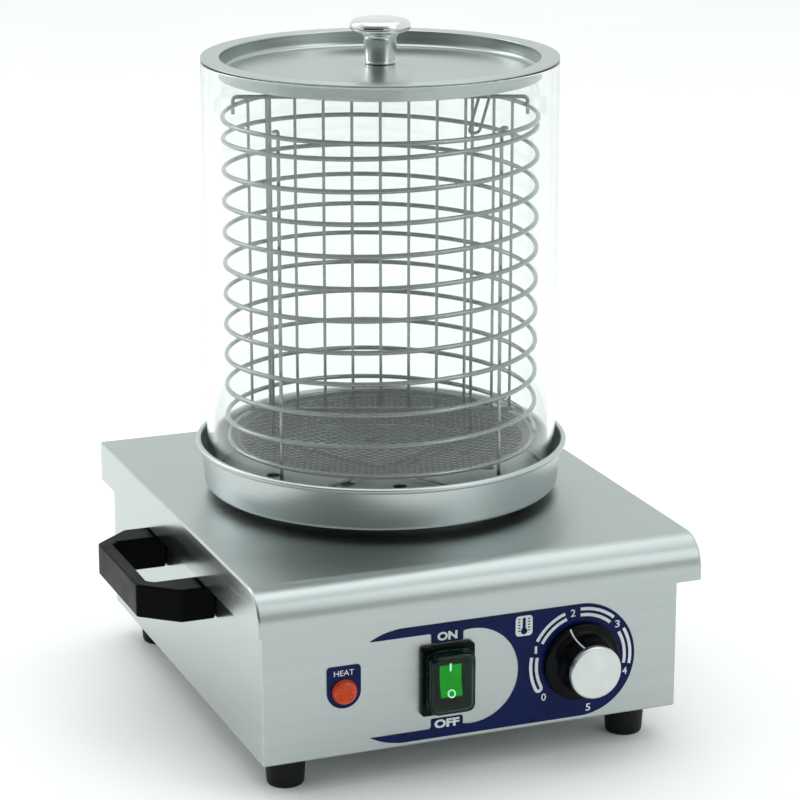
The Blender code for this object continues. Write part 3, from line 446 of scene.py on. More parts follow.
def tube(mesh, points, radius, sides=12, closed=False):
    """A round wire along points, with an untwisted section."""
    points = [Vector(p) for p in points]
    count = len(points)
    along = []
    for i in range(count):
        ahead = points[(i + 1) % count] if closed or i + 1 < count else points[i]
        behind = points[i - 1] if closed or i else points[i]
        along.append((ahead - behind).normalized())
    side = along[0].orthogonal().normalized()
    if abs(along[0].z) < 0.9:
        side = (Vector((0, 0, 1)) - along[0] * along[0].z).normalized()
    rings = []
    for i, (point, way) in enumerate(zip(points, along)):
        if i:
            side = along[i - 1].rotation_difference(way) @ side
            side = (side - way * side.dot(way)).normalized()
        other = way.cross(side)
        ring = []
        for k in range(sides):
            angle = 2 * pi * k / sides
            ring.append(mesh.verts.new(point + radius * (cos(angle) * side + sin(angle) * other)))
        rings.append(ring)
    pairs = list(zip(rings, rings[1:]))
    if closed:
        pairs.append((rings[-1], rings[0]))
    else:
        mesh.faces.new(rings[0])
        mesh.faces.new(rings[-1][::-1])
    for one, two in pairs:
        bridge(mesh, one, two)
    return mesh


def bent(corners, reach, steps=8):
    return [Vector(p) for p in rounded([tuple(c) for c in corners], reach, steps, False)]


def wire(points, radius, sides=12, closed=False):
    return tube(bmesh.new(), points, radius, sides, closed)


def wire_piece(name, mesh, body, node):
    place(name, mesh, "stainless_wire", body, [node], angle=60)


def merged(*meshes):
    result = bmesh.new()
    for mesh in meshes:
        data = bpy.data.meshes.new("part")
        mesh.to_mesh(data)
        mesh.free()
        result.from_mesh(data)
        bpy.data.meshes.remove(data)
    return result


def facing(across, back, z):
    """A point as seen from the basket's own front: right, back and up."""
    x = across * cos(BASKET_TURN) - back * sin(BASKET_TURN)
    y = across * sin(BASKET_TURN) + back * cos(BASKET_TURN)
    return AXIS + Vector((x, y, z))


# --- housing

def cover_side(low, high, inset, bottom):
    """Side view of the cover, front roll and small rear bend, as (y, z)."""
    outline = [(low.y + inset, bottom)]
    outline += arc((low.y + FRONT_ROLL, high.z - FRONT_ROLL), FRONT_ROLL - inset, 180, 90, 28)
    outline += arc((high.y - REAR_BEND, high.z - REAR_BEND), REAR_BEND - inset, 90, 0, 6)
    outline += [(high.y - inset, bottom)]
    return outline


def brush_ends_upright(obj):
    """The left and right faces take the side steel, brushed the other way and painted lighter than the top
    and front, for how light falls on the sides.
    """
    obj.data.materials.append(LOOKS["stainless_side"])
    for face in obj.data.polygons:
        if abs(face.normal.x) > 0.75:
            face.material_index = 1


def top_cover():
    low, high, _ = span("top_cover")
    sheet = 1.2 * MM
    bottom = low.z
    well = 85.0 * MM  # the round hole under the water pan
    solid = prism(cover_side(low, high, 0, bottom), 0, low.x, high.x)

    def is_end(edge):
        ends = [v.co for v in edge.verts]
        level = abs(ends[0].x - ends[1].x) < LEVEL
        return level and not all(abs(e.z - bottom) < LEVEL for e in ends)

    soften(solid, 1.5 * MM, 4, 40.0, is_end)
    inside = prism(cover_side(low, high, sheet, bottom - 5 * MM), 0, low.x + sheet, high.x - sheet)
    hole = pin(well, 100 * MM, 140 * MM, 2, AXIS, 128)
    cover = shape(solid, [inside, hole])
    obj = place("cover_sheet", cover, "stainless_sheet", "base", ["top_cover"], flat=True, angle=32)
    brush_ends_upright(obj)


def body_shell():
    low, high, _ = span("body_shell")
    sheet = 1.0 * MM
    lip = 12.0 * MM  # the shelf that the bottom plate sits on
    solid = slab(low, high)

    def is_upright(edge):
        a, b = (v.co for v in edge.verts)
        return abs(a.z - b.z) > 1e-4 or all(abs(v.z - low.z) < LEVEL for v in (a, b))

    soften(solid, 1.1 * MM, 4, 40.0, is_upright)
    inner = slab(
        (low.x + sheet, low.y + sheet, low.z + sheet),
        (high.x - sheet, high.y - sheet, high.z + 9 * MM))
    below = slab(
        (low.x + lip, low.y + lip, low.z - 9 * MM),
        (high.x - lip, high.y - lip, low.z + 9 * MM))
    middle = span("switch_rocker")[2].x
    slot_wide, slot_tall = mm(11.1, 15.1)
    slot = slab(
        (middle - slot_wide, low.y - 5 * MM, SWITCH_Z - slot_tall),
        (middle + slot_wide, low.y + 5 * MM, SWITCH_Z + slot_tall))

    def bore(spot, radius, axis, level):
        base = Vector(0 if i == axis else value for i, value in enumerate(spot))
        return pin(radius, level - 6 * MM, level + 6 * MM, axis, base)

    rods = [bore(LENS, 5.3 * MM, 1, low.y), bore(DIAL, 4.6 * MM, 1, low.y)]
    rods.append(bore(span("cable_gland")[2], 6.8 * MM, 1, high.y))
    for number in range(1, 5):
        rods.append(bore(span(f"base_screw_{number}")[2], 1.9 * MM, 2, low.z))
    shell = shape(solid, [inner, below, slot] + rods)
    obj = place("housing_shell", shell, "stainless_sheet", "base", ["body_shell"], flat=True, angle=32)
    brush_ends_upright(obj)


def pin(radius, low, high, axis, base, steps=32):
    return turned([(0, low), (radius, low), (radius, high), (0, high)], steps, axis, base)


def crossed_head(radius, dome, base):
    """A screw head that faces down, with a cross recess."""
    profile = [(0, 0), (radius, 0), (radius, -dome * 0.4), (radius * 0.6, -dome), (0, -dome)]
    head = turned(rounded(profile, [0, 0, 0.4 * dome, 0.6 * dome, 0], 5), 40, 2, base)
    bars = []
    for long, wide in ((0.62, 0.14), (0.14, 0.62)):
        low = (-long * radius, -wide * radius, -dome * 1.5)
        high = (long * radius, wide * radius, -dome * 0.35)
        bars.append(slab(base + Vector(low), base + Vector(high)))
    return shape(head, bars)


def screw(node, spot, head, dome, seat, shank):
    """A screw with its head down, its head's flat side seat above its foot."""
    low, high, _ = span(node)
    top = crossed_head(head * MM, dome * MM, Vector((spot.x, spot.y, low.z + seat * MM)))
    return merged(top, pin(shank * MM, low.z + (seat - 0.2) * MM, high.z, 2, (spot.x, spot.y, 0), 20))


def underside():
    for number in range(1, 5):
        node = f"base_screw_{number}"
        made = screw(node, span(node)[2], 3.0, 1.9, 1.9, 1.45)
        place(f"cover_screw_{number}", made, "zinc_fastener", "base", [node])
    for tag in ("fl", "fr", "rl", "rr"):
        _, high, mid = span("foot_" + tag)
        bore = 2.5 * MM
        profile = [(bore, 9 * MM), (bore, high.z), (11.5 * MM, high.z)]
        profile += above(0, (11.1, 14), (10.3, 1.2), (9.4, 0), (5, 0), (5, 9))
        outline = rounded(profile, mm(0, 0, 0.8, 2, 1, 0.4, 0.4, 0), 5)
        foot = turned(outline, 56, 2, (mid.x, mid.y, 0))
        place("rubber_foot_" + tag, foot, "black_rubber", "base", ["foot_" + tag])
        node = "foot_screw_" + tag
        made = screw(node, span(node)[2], 4.1, 3.0, 3.1, 1.95)
        place("foot_bolt_" + tag, made, "zinc_fastener", "base", [node])


def handles():
    for side, tag in ((-1, "left"), (1, "right")):
        low, high, mid = span("handle_" + tag)
        root = min(abs(low.x), abs(high.x))
        far = max(abs(low.x), abs(high.x))
        half_len = (high.y - low.y) / 2
        half = [(root, half_len), (far - 20.2 * MM, half_len), (far, half_len - 17.5 * MM)]
        grip_reach = 36.5 * MM  # half the opening for the fingers
        gap = [(root, grip_reach), (far - 11.0 * MM, grip_reach), (far - 7.5 * MM, grip_reach - 3.5 * MM)]
        around = half + [(x, -y) for x, y in reversed(half)]
        around += [(x, -y) for x, y in gap] + list(reversed(gap))
        grip = prism([(side * x, mid.y + y) for x, y in around], 2, low.z, high.z)
        soften(grip, 1.3 * MM, 4, 20.0)
        place("grip_" + tag, grip, "black_plastic", "base", ["handle_" + tag], flat=True, angle=40)


def gland():
    low, high, mid = span("cable_gland")
    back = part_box("body_shell")[1].y
    out = back + 0.3 * MM
    base = (mid.x, 0, mid.z)
    bore = 3.6 * MM
    profile = [(bore, low.y), (6.3 * MM, low.y)]
    profile += above(out, (6.3, 0), (9.4, 0), (9.4, 4.2), (8, 4.8), (7.5, 8))
    profile += [(5.4 * MM, high.y), (bore, high.y)]
    body = turned(rounded(profile, mm(0, 0, 0, 0.4, 0.6, 0.5, 1.5, 0.8, 0.3), 4), 64, 1, base)
    slots = []
    flutes, flute_ring = 12, 8.6 * MM
    for k in range(flutes):
        angle = 2 * pi * k / flutes
        spot = Vector((mid.x + flute_ring * cos(angle), 0, mid.z + flute_ring * sin(angle)))
        slots.append(pin(0.7 * MM, out + 4.9 * MM, high.y + 2 * MM, 1, spot, 10))
    place("gland_body", shape(body, slots), "black_plastic", "base", ["cable_gland"])


# --- controls

def printed(name, outlines, lift, look):
    """Thin raised print on the panel film, from closed (x, z) outlines."""
    low = FILM_FACE - lift - PRINT
    parts = [prism(outline, 1, low, FILM_FACE - lift) for outline in outlines]
    return place(name, merged(*parts), look, "base", angle=60)


def lettering(name, text, width, height, x, z, bold=0.0):
    """Generic words and numbers, sized to a given width and height."""
    curve = bpy.data.curves.new(name, "FONT")
    curve.body = text
    curve.size = 1.0
    curve.offset = bold
    curve.extrude = 0.5
    curve.resolution_u = 4
    holder = bpy.data.objects.new(name + "_text", curve)
    SCENE.collection.objects.link(holder)
    graph = bpy.context.evaluated_depsgraph_get()
    data = bpy.data.meshes.new_from_object(holder.evaluated_get(graph))
    bpy.data.objects.remove(holder, do_unlink=True)
    mesh = bmesh.new()
    mesh.from_mesh(data)
    xs = [v.co.x for v in mesh.verts]
    ys = [v.co.y for v in mesh.verts]
    for v in mesh.verts:
        u = ((v.co.x - min(xs)) / (max(xs) - min(xs)) - 0.5) * width
        w = ((v.co.y - min(ys)) / (max(ys) - min(ys)) - 0.5) * height
        v.co = Vector((x + u, FILM_FACE - PRINT * (0.5 + v.co.z), z + w))
    return place(name, mesh, "white_print", "base", angle=60)


def panel_outline():
    """Two pointed bands that join round the dial, with a tab at the switch."""
    mid_z = DIAL.z
    top = 32.6 * MM
    band = 27.5 * MM
    left, right = -25.4 * MM, -7.0 * MM
    tab_low, tab_high = 33.4 * MM, 77.0 * MM
    bowl_x = -1.8 * MM
    swing = degrees(acos((right - bowl_x) / band))
    tip, shoulder, level = mm(-60.5, -52.5, -43.4)
    upper = [(tip, mid_z + band), (shoulder, mid_z + band + 3.6 * MM), (level, mid_z + top)]
    upper = rounded(upper, mm(0, 6, 0), 6, False)
    outline = upper + arc((DIAL.x, mid_z), top, 90, -90, 64)
    outline += [(x, 2 * mid_z - z) for x, z in reversed(upper)]
    tab = [(left, mid_z - band), (left, tab_low), (right, tab_low)]
    bowl = arc((bowl_x, mid_z), band, -swing, swing, 48)
    tab_top = [(right, tab_high), (left, tab_high), (left, mid_z + band)]
    sizes = mm(1.6, 1, 1, 1.2) + [0] * (len(bowl) - 2) + mm(1.2, 1, 1, 1.6)
    return rounded(outline + tab + bowl + tab_top, [0] * len(outline) + sizes, 5)


def ring_piece(radius_in, radius_out, start, end, steps=18):
    """Part of a ring round the dial. Angles are clockwise from the top."""
    def spot(radius, angle):
        a = radians(angle)
        return (DIAL.x + radius * sin(a), DIAL.z + radius * cos(a))

    outer = [spot(radius_out, start + (end - start) * i / steps) for i in range(steps + 1)]
    inner = [spot(radius_in, end - (end - start) * i / steps) for i in range(steps + 1)]
    return outer + inner


def dial_scale():
    """Numbers 0 to 5 with double arcs between 0 and 4, the first arc closed by a cap."""
    first, step = -130, 60
    gap, first_gap = 9.0, 13.0
    middle = 28.2 * MM
    rings = []
    for k in range(4):
        start = first + step * k + (first_gap if k == 0 else gap)
        end = first + step * (k + 1) - gap
        rings.append(ring_piece(25.6 * MM, 27.4 * MM, start, end))
        rings.append(ring_piece(29.0 * MM, 30.8 * MM, start, end))
    angle = radians(first + first_gap)
    cap_mid = (DIAL.x + middle * sin(angle), DIAL.z + middle * cos(angle))
    turn = degrees(atan2(cos(angle), sin(angle)))
    inner = arc(cap_mid, 0.8 * MM, turn, turn + 180, 10)
    rings.append(arc(cap_mid, 2.6 * MM, turn, turn + 180, 14) + inner[::-1])
    printed("dial_arcs", rings, 0, "white_print")
    number_ring = 28.6 * MM
    for k in range(6):
        angle = radians(first + step * k)
        x = DIAL.x + number_ring * sin(angle)
        z = DIAL.z + number_ring * cos(angle)
        width = 1.4 * MM if k == 1 else 2.8 * MM
        lettering(f"number_{k}", str(k), width, 4.2 * MM, x, z, 0.01)


def round_box(x, z, width, height, radius, steps=6):
    half_w, half_h = width / 2, height / 2
    signs = ((-1, -1), (1, -1), (1, 1), (-1, 1))
    return rounded([(x + a * half_w, z + b * half_h) for a, b in signs], radius, steps)


def thermometer():
    x, z = 28.6 * MM, 80.0 * MM
    printed("icon_plate", [round_box(x, z, 10.0 * MM, 11.6 * MM, 2.4 * MM)], 0, "white_print")
    stem = round_box(x, z + 1.2 * MM, 1.8 * MM, 7.0 * MM, 0.85 * MM)
    bulb = arc((x, z - 3.0 * MM), 1.9 * MM, 0, 345, 20)
    dashes = []
    for side in (-1, 1):
        for k in range(5):
            spot = (x + side * 2.9 * MM, z + 3.9 * MM - k * 1.65 * MM)
            dashes.append(round_box(*spot, 1.4 * MM, 0.6 * MM, 0.1 * MM))
    printed("icon_marks", [stem, bulb] + dashes, PRINT, "blue_film")


def film(name, node, outline, spot, bore):
    """A printed film with a round hole."""
    low, high, _ = span(node)
    hole = pin(bore, low.y - 2 * MM, high.y + 2 * MM, 1, (spot.x, 0, spot.z), 40)
    sheet = shape(prism(outline, 1, low.y, high.y), [hole])
    place(name, sheet, "blue_film", "base", [node], angle=30)


def films():
    film("panel_print", "panel_film", panel_outline(), DIAL, 4.6 * MM)
    low, high, _ = span("lamp_film")
    half = (high.x - low.x) / 2
    corner = 1.9 * MM
    outline = arc((LENS.x, LENS.z), half, 180, 360, 28)
    outline += arc((LENS.x + half - corner, high.z - corner), corner, 0, 90, 6)
    outline += arc((LENS.x - half + corner, high.z - corner), corner, 90, 180, 6)
    film("lamp_print", "lamp_film", outline, LENS, 5.3 * MM)
    lettering("word_heat", "HEAT", 11.4 * MM, 3.1 * MM, LENS.x, LENS.z + 10.6 * MM)
    lettering("word_on", "ON", 11.6 * MM, 4.9 * MM, -16.3 * MM, 80.6 * MM, 0.045)
    lettering("word_off", "OFF", 14.6 * MM, 4.9 * MM, -16.4 * MM, 30.4 * MM, 0.045)
    dial_scale()
    thermometer()


def lamp():
    """A jewel lens: fine ridges over a shallow dish, with a raised rim."""
    low, high, _ = span("lamp_lens")
    radius = (high.x - low.x) / 2
    depth = high.y - low.y
    flat_share = 0.8  # how far out the ridges run
    ridge_turn, ridge_pitch = radians(115), 1.25 * MM
    mesh = bmesh.new()
    rings, steps = 44, 96
    rows = [[mesh.verts.new((LENS.x, low.y, LENS.z))]]
    for i in range(1, rings + 1):
        share = i / rings
        row = []
        for k in range(steps):
            a = 2 * pi * k / steps
            x, z = radius * share * cos(a), radius * share * sin(a)
            fall = 0.16 + 0.2 * share ** 2
            if share > flat_share:
                fall += 0.5 * ((share - flat_share) / (1 - flat_share)) ** 2
            else:
                along = x * cos(ridge_turn) + z * sin(ridge_turn)
                ridge = 0.5 + 0.5 * cos(2 * pi * along / ridge_pitch)
                fall -= 0.14 * ridge * min(1.0, (flat_share - share) / 0.06)
            row.append(mesh.verts.new((LENS.x + x, low.y + depth * fall, LENS.z + z)))
        rows.append(row)
    rows.append([mesh.verts.new((v.co.x, high.y, v.co.z)) for v in rows[-1]])
    rows.append([mesh.verts.new((LENS.x, high.y, LENS.z))])
    for one, two in zip(rows, rows[1:]):
        bridge(mesh, one, two)
    place("lamp_jewel", mesh, "amber_lens", "base", ["lamp_lens"], angle=60)


def switch():
    low, high, mid = span("switch_body")
    hood_low, hood_high, hood_mid = span("switch_hood")
    face = hood_high.y + 0.3 * MM
    seat = FRONT - 0.3 * MM
    rim = prism(round_box(mid.x, hood_mid.z, high.x - low.x, 39.5 * MM, 2.6 * MM, 8), 1, face, seat)

    def in_front(depth):
        return lambda edge: all(v.co.y < depth + LEVEL for v in edge.verts)

    soften(rim, 0.7 * MM, 3, 40.0, in_front(face))

    def block(half_wide, half_tall, near, far):
        return slab(
            (mid.x - half_wide, near, hood_mid.z - half_tall),
            (mid.x + half_wide, far, hood_mid.z + half_tall))

    core = block(10.6 * MM, 14.6 * MM, seat - 1 * MM, high.y)
    pocket = block(7.5 * MM, 11.5 * MM, face - 2 * MM, FRONT + 6 * MM)
    body = shape(shape(rim, [core], "UNION"), [pocket])
    place("switch_frame", body, "glossy_black", "base", ["switch_body"], flat=True)
    width = hood_high.x - hood_low.x
    height = hood_high.z - hood_low.z
    outside = prism(round_box(mid.x, hood_mid.z, width, height, 5.5 * MM, 10), 1, hood_low.y, hood_high.y)
    soften(outside, 3.0 * MM, 6, 40.0, in_front(hood_low.y))
    walls, front = 3.2 * MM, hood_low.y + 1.2 * MM
    hollow = round_box(mid.x, hood_mid.z, width - walls, height - walls, 4.0 * MM, 8)
    inside = prism(hollow, 1, front, hood_high.y + 2 * MM)
    soften(inside, 1.9 * MM, 5, 40.0, in_front(front))
    hood = shape(outside, [inside])
    place("switch_cap", hood, "green_hood", "base", ["switch_hood"], flat=True, angle=50)


KEY_FACE = 4.9  # millimetres from the pivot to the middle of the rocker's face
KEY_BREAK = 4.5  # where the face starts to fall away to its ends
KEY_HALF = 10.0


def rocker():
    low, high, mid = span("switch_rocker")
    pivot = Vector((mid.x, FRONT - 1.0 * MM, SWITCH_Z))
    tilt = radians(-7.0)
    side = [
        (-6.0, KEY_HALF), (-5.1, KEY_BREAK), (-KEY_FACE, 0), (-5.1, -KEY_BREAK), (-6.0, -KEY_HALF),
        (-1.5, -KEY_HALF), (3.0, -3), (3.0, 3), (-1.5, KEY_HALF)]

    def tilted(y, z):
        return (
            pivot.y + y * cos(tilt) - z * sin(tilt),
            pivot.z + y * sin(tilt) + z * cos(tilt))

    key = prism([tilted(y * MM, z * MM) for y, z in side], 0, low.x, high.x)
    soften(key, 0.5 * MM, 3, 25.0)
    place("rocker_key", key, "green_key", "rocker", ["switch_rocker"], flat=True)
    window = bmesh.new()
    wide, tall = 6.2, 8.8
    levels = (-tall, -KEY_BREAK, 0.0, KEY_BREAK, tall)
    for below, above in zip(levels, levels[1:]):
        corners = ((-wide, below), (wide, below), (wide, above), (-wide, above))
        marks(window, [mm(*corner) for corner in corners], None, tilted, pivot, 0.12 * MM)
    place("rocker_window", window, "green_rocker", "rocker", angle=60)
    bar = [mm(x, z) for x, z in ((-0.5, 5.2), (0.5, 5.2), (0.5, 9.6), (-0.5, 9.6))]
    o_mid = (0, -7.2 * MM)
    ring = arc(o_mid, 2.3 * MM, 90, 450, 28)[:-1]
    hollow = arc(o_mid, 1.6 * MM, 90, 450, 28)[:-1]
    mesh = bmesh.new()
    marks(mesh, bar, None, tilted, pivot, 0.3 * MM)
    marks(mesh, ring, hollow, tilted, pivot, 0.3 * MM)
    place("rocker_marks", mesh, "white_glow", "rocker", angle=60)


def marks(mesh, outline, hollow, tilted, pivot, rise):
    """A raised mark that follows the rocker's face."""

    def face_y(z):
        k = abs(z) / MM
        fall = 0.2 * min(k, KEY_BREAK) / KEY_BREAK
        return -(KEY_FACE + fall + max(0.0, k - KEY_BREAK) * 0.9 / (KEY_HALF - KEY_BREAK)) * MM

    def loop(points, lift):
        found = []
        for x, z in points:
            y, up = tilted(face_y(z) - lift, z)
            found.append(mesh.verts.new((pivot.x + x, y, up)))
        return found

    sunk = -0.05 * MM
    top, low = loop(outline, rise), loop(outline, sunk)
    bridge(mesh, low, top)
    if hollow:
        inner_top, inner_low = loop(hollow, rise), loop(hollow, sunk)
        bridge(mesh, inner_top, inner_low)
        bridge(mesh, top, inner_top)
        bridge(mesh, inner_low, low)
    else:
        mesh.faces.new(top)
        mesh.faces.new(low[::-1])


def knob():
    low, high, _ = span("knob_body")
    cap_low, cap_high, _ = span("knob_cap")
    back, front = high.y, low.y
    hub, bore = 14.8 * MM, 3.3 * MM
    rim = (high.x - low.x) / 2 / MM + 0.1
    skirt = (
        (3.3, 0), (rim - 0.5, 0), (rim, -0.8), (rim - 0.3, -2.6), (rim - 1.2, -3.2),
        (18.6, -3.6), (16.6, -5.2), (15.4, -8.2), (14.8, -12))
    profile = above(back, *skirt) + [
        (hub, front), (0, front), (0, front + 3.7 * MM), (bore, front + 3.7 * MM)]
    sizes = mm(0, 0.4, 0.5, 0.4, 0.8, 1.5, 2, 2, 1, 0.3, 0, 0, 0)
    body = turned(rounded(profile, sizes, 5), 120, 1, (DIAL.x, 0, DIAL.z))
    place("dial_grip", body, "glossy_black", "knob", ["knob_body"], flat=True)
    r = 15.0 * MM
    cap = [(0, cap_high.y), (r, cap_high.y), (r, cap_low.y + 0.8 * MM), (r - 0.8 * MM, cap_low.y),
           (r - 2.2 * MM, cap_low.y + 0.25 * MM), (0, cap_low.y + 0.25 * MM)]
    disc = turned(rounded(cap, mm(0, 0.2, 0.4, 0.4, 0.4, 0), 4), 120, 1)
    place("dial_cap", disc, "spun_cap", "knob", ["knob_cap"], flat=True)
    bpy.data.objects["dial_cap"].data.transform(Matrix.Translation((DIAL.x, 0, DIAL.z)))
    pointer(back, front)


def pointer(back, front):
    """White line down the skirt and up the hub to the cap."""
    angle = radians(-22.0)
    way = Vector((sin(angle), 0, cos(angle)))
    aside = Vector((cos(angle), 0, -sin(angle)))
    path = [
        (22.0, 3.3), (21.2, 3.35), (18.7, 3.75), (16.8, 5.3), (15.6, 8.2), (15.0, 11.8),
        (14.95, (back - front) / MM - 0.4)]
    mesh = bmesh.new()
    rows = []
    for radius, rise in path:
        row = []
        for out, across in ((0.1, -0.45), (0.1, 0.45), (-0.35, 0.45), (-0.35, -0.45)):
            spot = Vector((DIAL.x, back - (rise + out * 0.7) * MM, DIAL.z)) + way * (radius + out * 0.7) * MM
            row.append(mesh.verts.new(spot + aside * across * MM))
        rows.append(row)
    mesh.faces.new(rows[0])
    mesh.faces.new(rows[-1][::-1])
    for one, two in zip(rows, rows[1:]):
        bridge(mesh, one, two)
    place("dial_pointer", mesh, "white_print", "knob", angle=60)


def spun_cap_look():
    """Fine rings round the dial's own axis."""
    look = Look("dial_silver", (0.8, 0.81, 0.8), 1.0, 0.3)
    parts = look.add("ShaderNodeSeparateXYZ", {0: look.coords})
    rings = look.add("ShaderNodeCombineXYZ", {0: spread_from(look, parts, (0, 2), (DIAL.x, DIAL.z))})
    fine = look.noise(look.stretched((5200.0, 1.0, 1.0), rings.outputs[0]), 1.0, 2.0, 0.6)
    cloud = look.noise(look.coords, 90.0, 2.0, 0.5)
    mixed = look.average(fine, cloud, 0.4)
    look.tint(mixed, (0.54, 0.57, 0.56), (0.68, 0.71, 0.7))
    look.roughen(mixed, 0.24, 0.36)
    look.bump(fine, 0.15, 0.02 * MM)
    return look.mat


LOOKS["spun_cap"] = spun_cap_look()


# --- upper part

def water_pan():
    low, high, _ = span("water_pan")
    sheet = 0.7 * MM
    rim_r = 1.7 * MM
    wall_top = 102.8 * MM
    wall_low = 101.6 * MM
    corner = 3.5 * MM
    rim_mid = (106.2 * MM - rim_r, high.z - rim_r)
    base = (wall_low - corner, low.z + corner)
    flat = mm(0, 40, 80)
    profile = [(r, low.z) for r in flat]
    profile += arc(base, corner, -90, 0, 10)
    profile += [(wall_top, high.z - 2 * rim_r - 0.2 * MM)]
    profile += arc(rim_mid, rim_r, -100, 135, 18)
    profile += [(wall_top - sheet, high.z - 2 * rim_r)]
    profile += arc(base, corner - sheet, 0, -90, 10)
    profile += [(r, low.z + sheet) for r in flat[::-1]]
    mesh = turned(profile, 160, 2)
    seat_on_axis("pan_dish", mesh, "stainless_formed", "pan", ["water_pan"], angle=50)


def seat_on_axis(name, mesh, look, body, nodes, angle=35.0):
    """Build round the origin, then stand the piece on the glass's axis."""
    obj = place(name, mesh, look, body, (), angle, flat=True)
    obj.location = AXIS
    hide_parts(*nodes)
    return obj


def steam_plate():
    low, high, _ = span("steam_plate")
    edge = (high.x - low.x) / 2
    t = 0.8 * MM
    profile = [
        (0, high.z), (0, high.z - t), (edge - t, high.z - t), (edge - t, low.z + 0.9 * MM),
        (edge - 2.4 * MM, low.z), (edge - 1.4 * MM, low.z), (edge, low.z + 0.9 * MM), (edge, high.z)]
    plate = turned(rounded(profile, mm(0, 0, 0, 0.3, 0, 0.3, 0.3, 0.9), 3), 128)
    holes = []
    for radius, count in ((30, 6), (62, 12)):
        for i in range(count):
            angle = 2 * pi * (i + 0.5) / count
            spot = (radius * MM * cos(angle), radius * MM * sin(angle), 0)
            holes.append(pin(4 * MM, low.z - 5 * MM, high.z + 5 * MM, 2, spot, 28))
    seat_on_axis("steam_tray", shape(plate, holes), "stainless_formed", "plate", ["steam_plate"])


def glass():
    r = (GLASS_HIGH.x - GLASS_LOW.x) / 2
    wall = 4.0 * MM
    near, far = GLASS_LOW.z + 3 * MM, GLASS_HIGH.z - 3 * MM  # loops that keep the long wall even
    profile = [
        (r - wall, GLASS_LOW.z), (r, GLASS_LOW.z), (r, near), (r, far), (r, GLASS_HIGH.z),
        (r - wall, GLASS_HIGH.z), (r - wall, far), (r - wall, near)]
    rim = 1.2 * MM
    mesh = turned(rounded(profile, [rim, rim, 0, 0, rim, rim, 0, 0], 6), 192)
    seat_on_axis("glass_tube", mesh, "clear_glass", "glass", ["glass_cylinder"], angle=50)


def ring_points(radius, z, count=144):
    return [AXIS + Vector((x, y, z)) for x, y in arc((0, 0), radius, 0, 360, count)[:-1]]


RING_R = 88.0 * MM  # the basket's upper ring, which the frame and divider hook over
COIL_WIRE = 1.35 * MM


def basket():
    turns, steps, pitch = 10, 72, 17.7 * MM
    start = radians(-29.6)
    radius = 87.8 * MM
    bottom = 157.7 * MM
    points = []
    for i in range(turns * steps + 1):
        turn = i / steps
        angle = start + 2 * pi * turn
        spot = (radius * cos(angle), radius * sin(angle), bottom + pitch * turn)
        points.append(AXIS + Vector(spot))
    wire_piece("coil_wire", wire(points, COIL_WIRE), "basket", "basket_coil")
    hoops = (("basket_top_ring", "upper_hoop", RING_R), ("basket_low_ring", "lower_hoop", 86.85 * MM))
    for node, name, size in hoops:
        ring = wire(ring_points(size, span(node)[2].z), COIL_WIRE, 12, True)
        wire_piece(name, ring, "basket", node)
    both = merged(wire(frame_path(50.0), 1.0 * MM), wire(frame_path(140.0), 1.0 * MM))
    wire_piece("basket_uprights", both, "basket", "basket_frame")


def frame_path(turn_deg):
    """One U-shaped wire: hooked over the ring, down, across, and up."""
    low, high, _ = span("basket_frame")
    turn = BASKET_TURN + radians(turn_deg - 90)
    over = high.z - 1.0 * MM
    under = low.z + 1.0 * MM
    inside = 84.2 * MM
    side = [(RING_R, over), (inside, over), (inside, under), (0, under)]
    corners = side + [(-r, z) for r, z in reversed(side[:-1])]
    way = Vector((cos(turn), sin(turn), 0))
    return bent([AXIS + way * r + Vector((0, 0, z)) for r, z in corners], 4 * MM)


def basket_floor():
    """Woven wire in a shallow dish, with a rim wire."""
    low, high, _ = span("basket_floor")
    edge = (high.x - low.x) / 2
    rim = edge - 0.6 * MM
    dip = 9 * MM
    top = high.z - 0.6 * MM
    pitch = 3.4 * MM
    thick = 0.34 * MM
    weave = 0.24 * MM  # how far each wire rises and falls
    mesh = wire(ring_points(rim, top), 0.58 * MM, 8, True)
    lines = int(rim / pitch)
    for family in (0, 1):
        for k in range(-lines, lines + 1):
            fixed = k * pitch
            reach = sqrt(max(rim ** 2 - fixed ** 2, 0))
            if reach < 6 * MM:
                continue
            count = max(8, int(2 * reach / (0.85 * MM)))
            points = []
            for i in range(count + 1):
                run = -reach + 2 * reach * i / count
                wave = cos(pi * run / pitch + pi * (k + family))
                level = top - dip * (1 - (run ** 2 + fixed ** 2) / rim ** 2)
                z = level + weave * wave
                points.append(facing(*((run, fixed) if family else (fixed, run)), z))
            tube(mesh, points, thick, 5)
    place("floor_mesh", mesh, "mesh_wire", "basket", ["basket_floor"], angle=80)


def divider():
    """Eleven bars between two rails, hooked over the ring, with a pull tab."""
    back = 33 * MM
    edge = 76 * MM
    top = 342.4 * MM
    foot = 158.0 * MM
    radius = 1.2 * MM
    ring = sqrt(RING_R ** 2 - back ** 2)
    out = ring + 2.85 * MM * RING_R / ring + 0.5 * MM
    half = [(out, top - 10 * MM), (out, top)]
    corners = half + [(-a, z) for a, z in reversed(half)]
    mesh = wire(bent([facing(a, back, z) for a, z in corners], 3 * MM), radius)
    for k in range(-5, 6):
        a = max(-edge, min(edge, k * 16.3 * MM))
        tube(mesh, [facing(a, back, foot + (top - foot) * i / 12) for i in range(13)], 0.9 * MM)
    reach = edge + 2 * MM
    tube(mesh, [facing(-reach + 2 * reach * i / 16, back, foot) for i in range(17)], radius)
    over = top + radius * 0.6
    tip = 324 * MM
    tab = [(62, 3, over), (62, -8, over), (56, -14, tip), (50, -14, tip), (56, -8, over), (56, 3, over)]
    tube(mesh, bent([facing(a * MM, back + b * MM, z) for a, b, z in tab], 3 * MM), 0.9 * MM)
    wire_piece("divider_grid", mesh, "divider", "divider")


